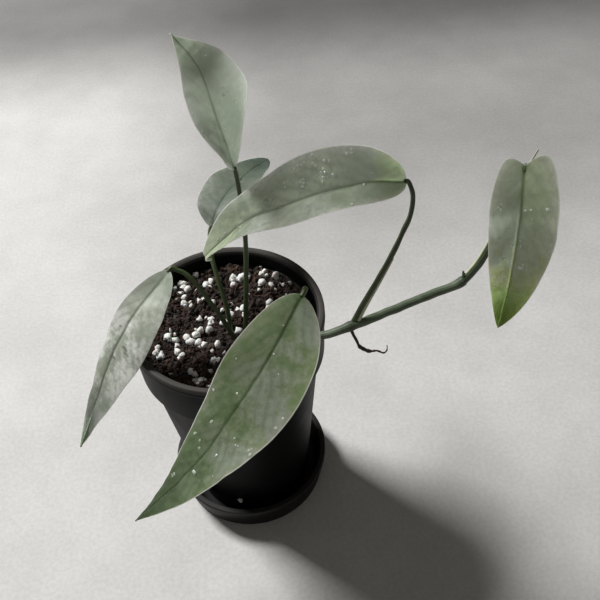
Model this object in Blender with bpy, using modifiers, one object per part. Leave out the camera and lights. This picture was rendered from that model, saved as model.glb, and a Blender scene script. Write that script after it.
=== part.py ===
"""A blue-leaved aroid vine in a tall pot on a saucer, built at its real size.

The pot stands in its saucer and holds soil with perlite. Six leaves stand on
their petioles: four rise from the soil, and two sit on the vine that leaves
the pot over its rim. The origin is the middle of the saucer's underside, +Z up.
"""

import math
import random

import bmesh
import bpy
import numpy as np

MM = 0.001

# Gap between two pieces that touch on the real plant
SEAT_GAP = 0.3 * MM

# Saucer
SAUCER_FOOT_RADIUS = 41.0 * MM
SAUCER_LIP_RADIUS = 45.0 * MM
SAUCER_HEIGHT = 19.0 * MM
SAUCER_FLOOR = 3.0 * MM
SAUCER_WALL = 3.4 * MM

# Pot
RIM_RADIUS = 50.0 * MM
RIM_HEIGHT = 139.0 * MM
LIP_WIDTH = 3.6 * MM
COLLAR_BOTTOM = 112.0 * MM
COLLAR_RADIUS = 48.6 * MM
BODY_TOP_RADIUS = 45.6 * MM
POT_FOOT = SAUCER_FLOOR + SEAT_GAP
POT_FOOT_RADIUS = 33.0 * MM
POT_INNER_FOOT_RADIUS = 30.0 * MM
POT_FLOOR = 7.8 * MM
DRAIN_RADIUS = 6.0 * MM
EDGE_ROUND = 1.2 * MM

# Soil and its perlite
SOIL_LEVEL = 130.0 * MM
SOIL_RELIEF = 0.9 * MM
SOIL_RINGS = 7
GRAIN_RADIUS_RANGE = (1.0 * MM, 2.1 * MM)
GRAIN_CLUSTER_SPREAD = 3.2 * MM
GRAIN_SEED = 11
GRAIN_TRIES = 40
GRAIN_STEM_CLEARANCE = 4.0 * MM
HOLE_CLEARANCE = 0.35 * MM

# Stems
STEM_DEPTH = 14.0 * MM
PETIOLE_RADIUS = 1.3 * MM
PETIOLE_TIP_SHARE = 0.85
VINE_RADIUS = 2.0 * MM
VINE_NODE_SWELL = 1.25
ROOT_RADIUS = 0.75 * MM
SHOOT_RADIUS = 1.0 * MM
SHEATH_RADIUS = 0.7 * MM
STEM_STEP = 3.0 * MM

# Leaf blades
BLADE_THICKNESS = 0.8 * MM
BLADE_LENGTH_STEPS = 22
BLADE_WIDTH_STEPS = 6
BLADE_END_HALF_WIDTH = 0.7 * MM
LOBE_REACH = 0.15

TURN_STEPS = 48

COLOURS = {
    "pot": ((0.022, 0.022, 0.025), 0.55),
    "soil": ((0.045, 0.028, 0.022), 0.95),
    "stem": ((0.10, 0.16, 0.06), 0.45),
    "leaf": ((0.17, 0.27, 0.19), 0.38),
    "root": ((0.07, 0.05, 0.03), 0.8),
    "sheath": ((0.55, 0.58, 0.36), 0.6),
}

# Each cluster of perlite grains: its middle in millimetres and its grains.
GRAIN_CLUSTERS = [
    (-22, 17, 7), (-13, 19, 4), (-31, -5, 8), (-19, -5, 7), (-25, -15, 5), (-8, 3, 5), (-10, -13, 5),
    (-3, -15, 4), (-7, -25, 4), (-8, 32, 5), (-26, 32, 4), (7, 33, 5), (15, 38, 4), (20, 26, 3), (32, 30, 5),
    (3, 11, 4), (-14, -34, 4), (-18, 38, 3), (-34, -14, 4), (26, 35, 3), (20, -30, 3), (30, 5, 3), (10, -22, 3),
]

# Each stem's route in millimetres, from its lowest point to its free end. A
# petiole's last millimetres are added by blade_base, in line with its blade.
# A stem that stands in the soil starts at the soil's surface.
SOIL_STEMS = {
    "petiole_upright": [(8.8, -2.6, 130), (12.1, 4.3, 155), (14.6, 10.2, 180), (14.8, 13.2, 203)],
    "petiole_back": [(1.5, -2.8, 130), (0.4, 3.4, 142), (-2.2, 11.4, 153), (-4.4, 20.5, 162)],
    "petiole_left": [
        (3.8, -10.1, 130), (-1.6, -6.4, 143), (-6.2, -3.2, 152), (-10.4, -0.2, 159.4), (-13.9, 2.2, 164),
        (-17.2, 4.1, 166.8), (-20, 4.9, 168),
    ],
    "petiole_front": [
        (17, -10.4, 130), (25.6, -16.1, 145), (33.7, -25.1, 163), (38.9, -31, 180), (40.4, -33.4, 186.2),
    ],
    "vine": [
        (22, -15.6, 130), (34, -20.6, 139.9), (46.6, -23.6, 142.6), (55, -23.9, 145.3), (62, -23, 147.3),
        (75, -20.2, 149.2), (97, -14.4, 152.9), (107, -12.2, 154.3), (114, -10.7, 155.8), (118.3, -9.9, 158.3),
    ],
}
VINE_NODES = (45.0, 102.5)

FREE_STEMS = {
    "petiole_arching": [
        (63.9, -21.4, 151.0), (67.4, -19.5, 157.2), (72.8, -17.2, 166.2), (78.1, -15, 175.5),
        (83.4, -12.6, 185.4), (87.5, -10.2, 194), (90.2, -8.6, 199.5), (91.6, -7, 205), (92, -5.6, 210),
        (91.3, -4.6, 213.6),
    ],
    "petiole_trailing": [
        (119.3, -9.8, 159.2), (121.7, -9.6, 162.6), (124.4, -9.4, 167.2), (127.3, -9, 173.6), (131, -8, 183),
        (135.4, -6, 195.4), (139.2, -3.6, 208), (140.8, -3.8, 215.6),
    ],
}
HOOK_REACH = 3.0 * MM
SHORT_HOOK_REACH = 1.8 * MM
SHORT_HOOKS = ("petiole_arching", "petiole_left")
BACK_SEATS = ("petiole_trailing",)
BACK_SEAT_DEPTH = 1.8 * MM
BLADE_SEAT_GAP = 0.9 * MM

AERIAL_ROOT = [
    (61.4, -24.6, 144.6), (62.8, -26, 140.3), (65, -27.4, 136), (68.5, -28.4, 133.7), (72.7, -29, 133.5),
    (75.9, -29.3, 132), (77.8, -28.8, 133.3), (78, -28, 136.2),
]
NEW_SHOOT = [
    (117.4, -8.2, 161.5), (119.5, -8.4, 164.2), (122.3, -8.2, 168.6), (125.2, -7.8, 174.8), (129, -6.6, 184.2),
    (133.6, -4, 196.2), (139.6, 0.6, 208.5), (145.8, 3, 216), (148.8, 4, 221.6),
]
SHEATH_SPAN = (0.02, 0.4)
SHEATH_OFFSET = (2.1 * MM, -0.93 * MM, -0.84 * MM)

# Each blade: its midrib from base to tip in millimetres, where its upper side
# faces, its twist at base and tip and its fold in degrees, its half width, the
# share by which its left half is wider, the two exponents of its outline, its
# basal lobes, and the height, waves and left and right phase of its margin.
BLADES = {
    "leaf_upright": dict(
        midrib=[(14, 15, 218), (12, 13, 237), (9, 14, 253), (5, 19, 269), (-5, 30, 279)],
        face=(0.8, -0.75, 0.1), twist=(-23, 15), fold=15, half_width=17.5, lean=-0.10,
        outline=(0.80, 1.13), lobes=0.0, wave=(3.0, 1.12, 1.0, 0.46),
    ),
    "leaf_back": dict(
        midrib=[(-3, 32, 170), (1, 38, 177), (7, 52, 176), (16, 75, 168), (27, 107, 152)],
        face=(-0.3, -0.2, 0.9), twist=(7, -33), fold=14, half_width=13.2, lean=0.02,
        outline=(0.65, 0.70), lobes=3.0, wave=(0.6, 2.45, -0.15, 0.33),
    ),
    "leaf_arching": dict(
        midrib=[(89, -4, 217), (70, -12, 225), (43, -14, 221), (15, -12, 208), (-6, -10, 186)],
        face=(0.0, -0.3, 0.95), twist=(26, -14), fold=15, half_width=14.8, lean=-0.22,
        outline=(0.58, 0.82), lobes=2.0, wave=(1.5, 2.02, 0.54, 0.41),
    ),
    "leaf_left": dict(
        midrib=[(-23.9, 4.6, 168.5), (-43, -12, 156), (-57, -20, 137), (-68, -28, 116), (-82, -38, 90)],
        face=(-0.5, -0.5, 0.7), twist=(-5, 18), fold=8.5, half_width=13.6, lean=0.31,
        outline=(0.60, 1.12), lobes=1.5, wave=(3.0, 1.0, 0.42, 1.21),
    ),
    "leaf_front": dict(
        midrib=[(39, -38, 187), (23, -65, 180), (5, -82, 165), (-16, -93, 143), (-45, -98, 114)],
        face=(0.0, -0.45, 0.9), twist=(19, -42), fold=2, half_width=18.9, lean=0.13,
        outline=(0.57, 0.97), lobes=1.5, wave=(1.7, 2.11, -0.13, 0.68),
    ),
    "leaf_trailing": dict(
        midrib=[(140, -6.6, 221.7), (137.9, -16.2, 208.6), (136, -22.7, 190.1), (133.2, -29.1, 168.8), (128.6, -36.5, 151.3)],
        face=(-0.3, -0.8, 0.5), twist=(-16, 9), fold=15, half_width=15.6, lean=0.14,
        outline=(0.42, 0.83), lobes=12.0, wave=(1.4, 1.82, 0.52, 0.81),
    ),
}


def clear_scene():
    """Removes what the scene holds at the start."""
    for obj in list(bpy.data.objects):
        bpy.data.objects.remove(obj)


def new_collection(name):
    collection = bpy.data.collections.new(name)
    bpy.context.scene.collection.children.link(collection)
    return collection


def make_material(name):
    colour, roughness = COLOURS[name]
    material = bpy.data.materials.new(name)
    material.use_nodes = True
    shader = material.node_tree.nodes["Principled BSDF"]
    shader.inputs["Base Color"].default_value = (*colour, 1.0)
    shader.inputs["Roughness"].default_value = roughness
    shader.inputs["Metallic"].default_value = 0.0
    return material


def spline_point(points, share):
    """The point at this share, 0 to 1, of a smooth curve through the points."""
    points = np.asarray(points, float)
    padded = np.vstack([2 * points[0] - points[1], points, 2 * points[-1] - points[-2]])
    place = share * (len(points) - 1)
    first = min(max(int(math.floor(place)), 0), len(points) - 2)
    s = place - first
    a, b, c, d = padded[first : first + 4]
    return 0.5 * (2 * b + (c - a) * s + (2 * a - 5 * b + 4 * c - d) * s**2 + (3 * b - a - 3 * c + d) * s**3)


def unit(vector):
    return vector / np.linalg.norm(vector)


def stem_route(points, depth=0.0):
    """Points about STEM_STEP apart along the stem, after a straight root of this depth."""
    length = np.linalg.norm(np.diff(np.array(points), axis=0), axis=1).sum()
    steps = max(6, round(length / STEM_STEP))
    route = [spline_point(points, i / steps) for i in range(steps + 1)]
    if depth:
        down = unit(route[0] - route[1])
        route.insert(0, route[0] + down * depth)
    return route


def blade_base(name):
    """The last points of a petiole: in line with its blade and just short of it, or just behind its base."""
    spec = BLADES[name.replace("petiole", "leaf")]
    midrib = np.array(spec["midrib"], float) * MM
    along = unit(spline_point(midrib, 0.02) - midrib[0])
    if name in BACK_SEATS:
        face = np.array(spec["face"], float)
        return [midrib[0] - unit(face - along.dot(face) * along) * BACK_SEAT_DEPTH]
    reach = SHORT_HOOK_REACH if name in SHORT_HOOKS else HOOK_REACH
    return [midrib[0] - along * reach, midrib[0] - along * BLADE_SEAT_GAP]


def petiole_points(name, points_mm):
    """A stem's points in metres; a petiole's run on to its blade."""
    points = list(np.array(points_mm, float) * MM)
    return points + blade_base(name) if name.startswith("petiole") else points


def make_tube(name, route, radii, material, collection, sides=2):
    """A round stem along the route, with its own radius at each point and filled ends."""
    curve = bpy.data.curves.new(name, "CURVE")
    curve.dimensions = "3D"
    curve.bevel_depth = 1.0
    curve.bevel_resolution = sides
    curve.use_fill_caps = True
    spline = curve.splines.new("POLY")
    spline.points.add(len(route) - 1)
    for point, place, radius in zip(spline.points, route, radii):
        point.co = (*place, 1.0)
        point.radius = radius
    obj = bpy.data.objects.new(name, curve)
    curve.materials.append(material)
    collection.objects.link(obj)
    return obj


def tapered(count, first, last):
    return [first + (last - first) * i / (count - 1) for i in range(count)]


def vine_radii(route):
    """The vine's radius at each point, swollen at its two nodes."""
    radii = []
    travelled = -STEM_DEPTH
    previous = route[0]
    for place in route:
        travelled += np.linalg.norm(place - previous)
        swell = sum(math.exp(-(((travelled / MM - node) / 3.5) ** 2)) for node in VINE_NODES)
        radii.append(VINE_RADIUS * (1 + (VINE_NODE_SWELL - 1) * min(swell, 1.0)))
        previous = place
    return radii


def stem_shape(name, points_mm):
    """The route and radii of a stem that stands in the soil."""
    route = stem_route(petiole_points(name, points_mm), STEM_DEPTH)
    if name == "vine":
        return route, vine_radii(route)
    return route, tapered(len(route), PETIOLE_RADIUS, PETIOLE_RADIUS * PETIOLE_TIP_SHARE)


def mesh_from(obj, name, collection):
    """A mesh object of the evaluated object, welded, that takes the object's place."""
    graph = bpy.context.evaluated_depsgraph_get()
    mesh = bpy.data.meshes.new_from_object(obj.evaluated_get(graph))
    work = bmesh.new()
    work.from_mesh(mesh)
    bmesh.ops.remove_doubles(work, verts=work.verts, dist=1e-6)
    work.to_mesh(mesh)
    work.free()
    made = bpy.data.objects.new(name, mesh)
    made.matrix_world = obj.matrix_world
    collection.objects.link(made)
    bpy.data.objects.remove(obj)
    made.name = name
    return made


def turned(name, profile, closed, collection):
    """A solid turned about Z from (radius, height) points that run down its outer side."""
    mesh = bpy.data.meshes.new(name)
    edges = [(i, i + 1) for i in range(len(profile) - 1)]
    if closed:
        edges.append((len(profile) - 1, 0))
    mesh.from_pydata([(r, 0.0, z) for r, z in profile], edges, [])
    obj = bpy.data.objects.new(name, mesh)
    collection.objects.link(obj)
    screw = obj.modifiers.new("turn", "SCREW")
    screw.steps = TURN_STEPS
    screw.render_steps = TURN_STEPS
    screw.use_merge_vertices = True
    screw.merge_threshold = 1e-5
    screw.use_smooth_shade = True
    bpy.context.view_layer.update()
    return mesh_from(obj, name, collection)


def shade(obj, material):
    obj.data.materials.append(material)
    obj.data.shade_smooth()
    obj.data.set_sharp_from_angle(angle=math.radians(35))


def make_saucer(material, collection):
    lip_inner = SAUCER_LIP_RADIUS - SAUCER_WALL
    floor_inner = SAUCER_FOOT_RADIUS - 2.5 * MM
    half = EDGE_ROUND / 2
    profile = [
        (0.0, SAUCER_FLOOR),
        (floor_inner - EDGE_ROUND, SAUCER_FLOOR),
        (floor_inner, SAUCER_FLOOR + EDGE_ROUND),
        (lip_inner, SAUCER_HEIGHT - half),
        (lip_inner + half, SAUCER_HEIGHT),
        (SAUCER_LIP_RADIUS - half, SAUCER_HEIGHT),
        (SAUCER_LIP_RADIUS, SAUCER_HEIGHT - half),
        (SAUCER_FOOT_RADIUS + half, half * 2),
        (SAUCER_FOOT_RADIUS - half, 0.0),
        (0.0, 0.0),
    ]
    saucer = turned("saucer", profile, False, collection)
    shade(saucer, material)


def inner_wall_radius(height):
    """The pot's inner radius at this height."""
    rise = (height - POT_FLOOR) / (RIM_HEIGHT - POT_FLOOR)
    top = RIM_RADIUS - LIP_WIDTH
    return POT_INNER_FOOT_RADIUS + (top - POT_INNER_FOOT_RADIUS) * rise


def make_pot(material, collection):
    top_inner = RIM_RADIUS - LIP_WIDTH
    profile = [
        (top_inner + EDGE_ROUND, RIM_HEIGHT),
        (RIM_RADIUS - EDGE_ROUND, RIM_HEIGHT),
        (RIM_RADIUS, RIM_HEIGHT - EDGE_ROUND),
        (COLLAR_RADIUS, COLLAR_BOTTOM + EDGE_ROUND),
        (COLLAR_RADIUS - EDGE_ROUND, COLLAR_BOTTOM),
        (BODY_TOP_RADIUS, COLLAR_BOTTOM),
        (POT_FOOT_RADIUS + EDGE_ROUND / 2, POT_FOOT + EDGE_ROUND),
        (POT_FOOT_RADIUS - EDGE_ROUND / 2, POT_FOOT),
        (DRAIN_RADIUS, POT_FOOT),
        (DRAIN_RADIUS, POT_FLOOR),
        (POT_INNER_FOOT_RADIUS, POT_FLOOR),
        (inner_wall_radius(RIM_HEIGHT - EDGE_ROUND), RIM_HEIGHT - EDGE_ROUND),
    ]
    pot = turned("pot", profile, True, collection)
    shade(pot, material)


def soil_height(x, y):
    """The soil's surface, gently uneven."""
    waves = math.sin(x * 210 + 1.3) * math.cos(y * 170) + 0.6 * math.sin(x * 390 - y * 310)
    return SOIL_LEVEL + SOIL_RELIEF * 0.6 * waves


def grain_places(stems):
    """Seeded places and radii of the perlite grains in their clusters, clear of the stems and the wall."""
    draw = random.Random(GRAIN_SEED)
    reach = inner_wall_radius(SOIL_LEVEL) - 3.2 * MM
    grains = []
    for middle_x, middle_y, count in GRAIN_CLUSTERS:
        wanted = len(grains) + count
        for _ in range(GRAIN_TRIES):
            radius = draw.uniform(*GRAIN_RADIUS_RANGE)
            x = draw.gauss(middle_x * MM, GRAIN_CLUSTER_SPREAD)
            y = draw.gauss(middle_y * MM, GRAIN_CLUSTER_SPREAD)
            inside = math.hypot(x, y) < reach
            clear = all(math.hypot(x - s[0], y - s[1]) > GRAIN_STEM_CLEARANCE for s in stems)
            apart = all(math.hypot(x - g[0], y - g[1]) > 0.8 * (radius + g[2]) for g in grains)
            if inside and clear and apart:
                grains.append((x, y, radius))
            if len(grains) == wanted:
                break
    return grains


def make_grains(stems, collection):
    """One angular grain of perlite for each place, sunk into the soil's surface."""
    draw = random.Random(GRAIN_SEED + 1)
    for index, (x, y, radius) in enumerate(grain_places(stems)):
        bpy.ops.mesh.primitive_ico_sphere_add(subdivisions=1, radius=radius)
        grain = bpy.context.object
        grain.name = f"grain_{index:02d}"
        grain.location = (x, y, soil_height(x, y) + 0.15 * radius)
        grain.rotation_euler = [draw.uniform(0, math.pi) for _ in range(3)]
        grain.scale = [draw.uniform(0.8, 1.15) for _ in range(3)]
        for old in list(grain.users_collection):
            old.objects.unlink(grain)
        collection.objects.link(grain)


def boolean(obj, operation, collection, solver):
    """Applies one Boolean of the object with all of the collection, and returns the result."""
    modifier = obj.modifiers.new("join", "BOOLEAN")
    modifier.operation = operation
    modifier.operand_type = "COLLECTION"
    modifier.collection = collection
    modifier.solver = solver
    bpy.context.view_layer.update()
    made = mesh_from(obj, "soil", obj.users_collection[0])
    for helper in list(collection.objects):
        bpy.data.objects.remove(helper)
    return made


def make_soil(material, collection):
    """The potting mix: a filled body with perlite on top and a plain hole for each stem."""
    radius_top = inner_wall_radius(SOIL_LEVEL) - SEAT_GAP
    bottom = POT_FLOOR + SEAT_GAP
    radius_bottom = inner_wall_radius(bottom) - SEAT_GAP
    profile = [(radius_top * i / SOIL_RINGS, SOIL_LEVEL) for i in range(SOIL_RINGS + 1)]
    profile += [(radius_bottom, bottom), (0.0, bottom)]
    soil = turned("soil", profile, False, collection)
    rim = radius_top - 0.5 * MM
    for vertex in soil.data.vertices:
        x, y, z = vertex.co
        if z > SOIL_LEVEL - MM and math.hypot(x, y) < rim:
            vertex.co.z = soil_height(x, y)

    stems = [np.array(points[0]) * MM for points in SOIL_STEMS.values()]
    grains = new_collection("grains")
    make_grains(stems, grains)
    soil = boolean(soil, "UNION", grains, "MANIFOLD")

    holes = new_collection("holes")
    for name, points in SOIL_STEMS.items():
        route, radii = stem_shape(name, points)
        wide = [radius + HOLE_CLEARANCE for radius in radii]
        down = unit(route[0] - route[1])
        route = [route[0] + down * SEAT_GAP, *route[1:]]
        cutter = make_tube(f"hole_{name}", route, wide, material, holes)
        mesh_from(cutter, f"hole_{name}", holes)
    soil = boolean(soil, "DIFFERENCE", holes, "MANIFOLD")
    for helper in (grains, holes):
        bpy.data.collections.remove(helper)
    soil.data.materials.clear()
    soil.data.materials.append(material)


def blade_half_width(spec, share, side):
    """The blade's half width at this share of its length, on the left (-1) or right (+1)."""
    rise, fall = spec["outline"]
    peak = rise / (rise + fall)
    t = min(max(share, 1e-6), 1 - 1e-6)
    form = (t / peak) ** rise * ((1 - t) / (1 - peak)) ** fall
    width = spec["half_width"] * MM * (1 - side * spec["lean"])
    return max(width * form, BLADE_END_HALF_WIDTH)


def blade_point(spec, share, across):
    """A point of the blade's middle surface: across runs from -1 to 1 over its width."""
    midrib = np.array(spec["midrib"], float) * MM
    here = spline_point(midrib, share)
    step = 1e-3
    along = unit(spline_point(midrib, min(share + step, 1.0)) - spline_point(midrib, max(share - step, 0.0)))
    face = np.array(spec["face"], float)
    up = unit(face - along.dot(face) * along)
    out = np.cross(along, up)
    twist = math.radians(spec["twist"][0] + (spec["twist"][1] - spec["twist"][0]) * share)
    out, up = out * math.cos(twist) + up * math.sin(twist), up * math.cos(twist) - out * math.sin(twist)

    side = 1 if across > 0 else -1
    width = blade_half_width(spec, share, side)
    height, waves, left_phase, right_phase = spec["wave"]
    phase = right_phase if side > 0 else left_phase
    margin = math.sqrt(math.sin(math.pi * min(max(share, 0.0), 1.0)))
    ripple = height * MM * margin * across**2 * math.sin(2 * math.pi * (waves * share + phase))
    fold = math.radians(spec["fold"])
    fill = width / (spec["half_width"] * MM)
    back = spec["lobes"] * MM * across**2 * fill * math.exp(-((share / LOBE_REACH) ** 2))
    sideways = across * width * math.cos(fold)
    lift = abs(across) * width * math.sin(fold) + ripple
    return here + out * sideways + up * lift - along * back


def make_blade(name, spec, material, collection):
    """A leaf blade: an open grid bent to its form, split alike on both faces by Solidify."""
    work = bmesh.new()
    bmesh.ops.create_grid(work, x_segments=BLADE_LENGTH_STEPS, y_segments=BLADE_WIDTH_STEPS, size=1.0)
    for vertex in work.verts:
        share = 0.5 * (1 - math.cos(math.pi * (vertex.co.x + 1) / 2))
        vertex.co = blade_point(spec, share, vertex.co.y)
    bmesh.ops.triangulate(work, faces=work.faces)
    mesh = bpy.data.meshes.new(name)
    work.to_mesh(mesh)
    work.free()
    blade = bpy.data.objects.new(name, mesh)
    collection.objects.link(blade)
    solid = blade.modifiers.new("thickness", "SOLIDIFY")
    solid.thickness = BLADE_THICKNESS
    solid.offset = 0.0
    mesh.materials.append(material)
    mesh.shade_smooth()


def make_stems(materials, collection):
    for name, points in SOIL_STEMS.items():
        route, radii = stem_shape(name, points)
        make_tube(name, route, radii, materials["stem"], collection)
    for name, points in FREE_STEMS.items():
        route = stem_route(petiole_points(name, points))
        radii = tapered(len(route), PETIOLE_RADIUS * 1.15, PETIOLE_RADIUS * PETIOLE_TIP_SHARE)
        make_tube(name, route, radii, materials["stem"], collection)
    arching = petiole_points("petiole_arching", FREE_STEMS["petiole_arching"])
    shares = np.linspace(*SHEATH_SPAN, 6)
    sheath = [spline_point(arching, share) + np.array(SHEATH_OFFSET) for share in shares]
    for name, points, radius, tip, kind in (
        ("aerial_root", np.array(AERIAL_ROOT) * MM, ROOT_RADIUS, 0.35, "root"),
        ("new_shoot", np.array(NEW_SHOOT) * MM, SHOOT_RADIUS, 0.35, "sheath"),
        ("petiole_sheath", sheath, SHEATH_RADIUS, 0.5, "sheath"),
    ):
        route = stem_route(points)
        make_tube(name, route, tapered(len(route), radius, radius * tip), materials[kind], collection)


def main():
    clear_scene()
    materials = {name: make_material(name) for name in COLOURS}
    plant = new_collection("potted_vine")
    make_saucer(materials["pot"], plant)
    make_pot(materials["pot"], plant)
    make_soil(materials["soil"], plant)
    make_stems(materials, plant)
    for name, spec in BLADES.items():
        make_blade(name, spec, materials["leaf"], plant)


main()
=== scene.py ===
"""Dresses a potted blue-leaved vine: blades, stems, potting mix, pot and saucer.

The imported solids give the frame. Every piece here follows the same named
routes and outlines as its solid, with the relief and finish of the real one.
"""

import logging
import math
from collections.abc import Callable, Sequence
from dataclasses import dataclass
from enum import Enum

import bpy
import numpy as np
from mathutils import Matrix, Vector

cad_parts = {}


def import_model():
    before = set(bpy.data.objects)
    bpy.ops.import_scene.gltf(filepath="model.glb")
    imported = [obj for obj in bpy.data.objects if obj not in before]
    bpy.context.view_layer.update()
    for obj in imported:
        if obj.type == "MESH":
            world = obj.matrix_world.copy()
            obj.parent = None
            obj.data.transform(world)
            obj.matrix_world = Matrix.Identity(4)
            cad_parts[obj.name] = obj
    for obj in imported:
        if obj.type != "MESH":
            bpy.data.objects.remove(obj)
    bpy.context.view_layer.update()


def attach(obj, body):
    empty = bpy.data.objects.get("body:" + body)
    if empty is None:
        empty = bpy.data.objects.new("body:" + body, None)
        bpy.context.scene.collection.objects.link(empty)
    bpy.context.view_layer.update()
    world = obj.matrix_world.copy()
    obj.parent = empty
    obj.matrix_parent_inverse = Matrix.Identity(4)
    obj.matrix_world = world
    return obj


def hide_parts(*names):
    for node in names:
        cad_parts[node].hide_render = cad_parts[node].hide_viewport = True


LOG = logging.getLogger("potted_vine")

MM = 0.001
BODY = "root"

Point = tuple[float, float, float]
Colour = tuple[float, float, float]
Socket = bpy.types.NodeSocket


class Slot(Enum):
    """The record's material slots."""

    POT = "pot"
    SOIL = "soil"
    STEM = "stem"
    LEAF = "leaf"
    ROOT = "root"
    SHEATH = "sheath"


# Geometry helpers


def unit(vector: np.ndarray) -> np.ndarray:
    """The vector at length one."""
    return vector / np.linalg.norm(vector)


def spline_point(points: np.ndarray, share: float) -> np.ndarray:
    """A point on a smooth curve through the points.

    Args:
        points: The points that the curve passes through.
        share: The place along the curve, from 0 to 1.

    Returns:
        The point at that share.
    """
    padded = np.vstack([2 * points[0] - points[1], points, 2 * points[-1] - points[-2]])
    place = share * (len(points) - 1)
    first = min(max(int(math.floor(place)), 0), len(points) - 2)
    s = place - first
    a, b, c, d = padded[first : first + 4]
    square = 2 * a - 5 * b + 4 * c - d
    cube = 3 * b - a - 3 * c + d
    return 0.5 * (2 * b + (c - a) * s + square * s**2 + cube * s**3)


def smooth(low: float, high: float, value: np.ndarray) -> np.ndarray:
    """A smooth step from 0 below low to 1 above high."""
    t = np.clip((value - low) / (high - low), 0, 1)
    return t * t * (3 - 2 * t)


def bell(away: np.ndarray, width: float) -> np.ndarray:
    """A smooth hump: 1 at no distance away, fading over this width."""
    return np.exp(-((away / width) ** 2))


class Waves:
    """Smooth seeded unevenness: a sum of sine waves in random directions."""

    shortest = 0.6
    longest = 1.8
    height = 1.4

    def __init__(self, seed: int, size: float, count: int = 14) -> None:
        """Draws the waves.

        Args:
            seed: The seed of the draw.
            size: The usual length of a wave, in metres.
            count: How many waves are summed.
        """
        draw = np.random.default_rng(seed)
        direction = draw.normal(size=(count, 3))
        direction /= np.linalg.norm(direction, axis=1)[:, None]
        lengths = size * draw.uniform(self.shortest, self.longest, count)
        self.vectors = direction * (2 * math.pi / lengths)[:, None]
        self.phases = draw.uniform(0, 2 * math.pi, count)
        self.scale = self.height / math.sqrt(count)

    def at(self, points: np.ndarray) -> np.ndarray:
        """The unevenness, about -1 to 1, at each of these points."""
        return np.sin(points @ self.vectors.T + self.phases).sum(axis=-1) * self.scale


def linked(name: str, data: bpy.types.ID) -> bpy.types.Object:
    """A new object with this data, in the scene."""
    made = bpy.data.objects.new(name, data)
    bpy.context.scene.collection.objects.link(made)
    return made


def mesh_object(
    name: str, vertices: np.ndarray, faces: Sequence[Sequence[int]], material: bpy.types.Material
) -> bpy.types.Object:
    """A smooth-shaded mesh object at the origin.

    Args:
        name: The object's name.
        vertices: Its points in metres.
        faces: The corners of each face.
        material: Its finish.

    Returns:
        The object, linked to the scene.
    """
    mesh = bpy.data.meshes.new(name)
    mesh.from_pydata([tuple(v) for v in vertices], [], [tuple(f) for f in faces])
    mesh.shade_smooth()
    mesh.materials.append(material)
    return linked(name, mesh)


def add_attribute(obj: bpy.types.Object, name: str, values: np.ndarray) -> None:
    """Stores one number for each vertex under this name."""
    layer = obj.data.attributes.new(name, "FLOAT", "POINT")
    layer.data.foreach_set("value", np.asarray(values, np.float32).ravel())


def grid_faces(
    rows: int, columns: int, wrap: bool, start: int = 0, flip: bool = False
) -> list[tuple[int, ...]]:
    """The quads of a grid of vertices stored row by row.

    Args:
        rows: The number of rows.
        columns: The number of vertices in a row.
        wrap: Whether each row closes on itself.
        start: The index of the grid's first vertex.
        flip: Whether the faces turn over.

    Returns:
        The corners of each quad.
    """
    faces = []
    for i in range(rows - 1):
        this_row = start + i * columns
        next_row = this_row + columns
        for j in range(columns if wrap else columns - 1):
            k = (j + 1) % columns
            quad = (this_row + j, this_row + k, next_row + k, next_row + j)
            faces.append(quad[::-1] if flip else quad)
    return faces


def cap_faces(steps: int, first: int, last: int, last_row: int) -> list[tuple[int, ...]]:
    """The triangles that close both ends of a tube.

    Args:
        steps: The number of vertices in a ring.
        first: The index of the point that closes the first ring.
        last: The index of the point that closes the last ring.
        last_row: The index of the last ring's first vertex.

    Returns:
        The corners of each triangle, an end at a time for each step.
    """
    faces = []
    for j in range(steps):
        k = (j + 1) % steps
        faces.append((first, k, j))
        faces.append((last, last_row + j, last_row + k))
    return faces


def publish(obj: bpy.types.Object, slot: Slot, *nodes: str) -> bpy.types.Object:
    """Sets the piece on its body, hides the solids it stands for and logs its slot.

    Args:
        obj: The finished piece.
        slot: The record's slot, which is only logged.
        nodes: The CAD nodes that it replaces.

    Returns:
        The piece.
    """
    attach(obj, BODY)
    if nodes:
        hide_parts(*nodes)
    LOG.info("%s: %d vertices, slot %s", obj.name, len(obj.data.vertices), slot.value)
    return obj


# Shader building


@dataclass(frozen=True)
class Noise:
    """A noise texture: its features to a metre, its octaves and their roughness."""

    scale: float
    detail: float
    roughness: float


@dataclass(frozen=True)
class Step:
    """A smooth step: two limits of a value, and what it becomes at each of them."""

    low: float
    high: float
    to_low: float = 0.0
    to_high: float = 1.0


@dataclass(frozen=True)
class Bumps:
    """Fine bumps: their noise, their height in metres and how strongly they show."""

    noise: Noise
    height: float
    strength: float


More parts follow.
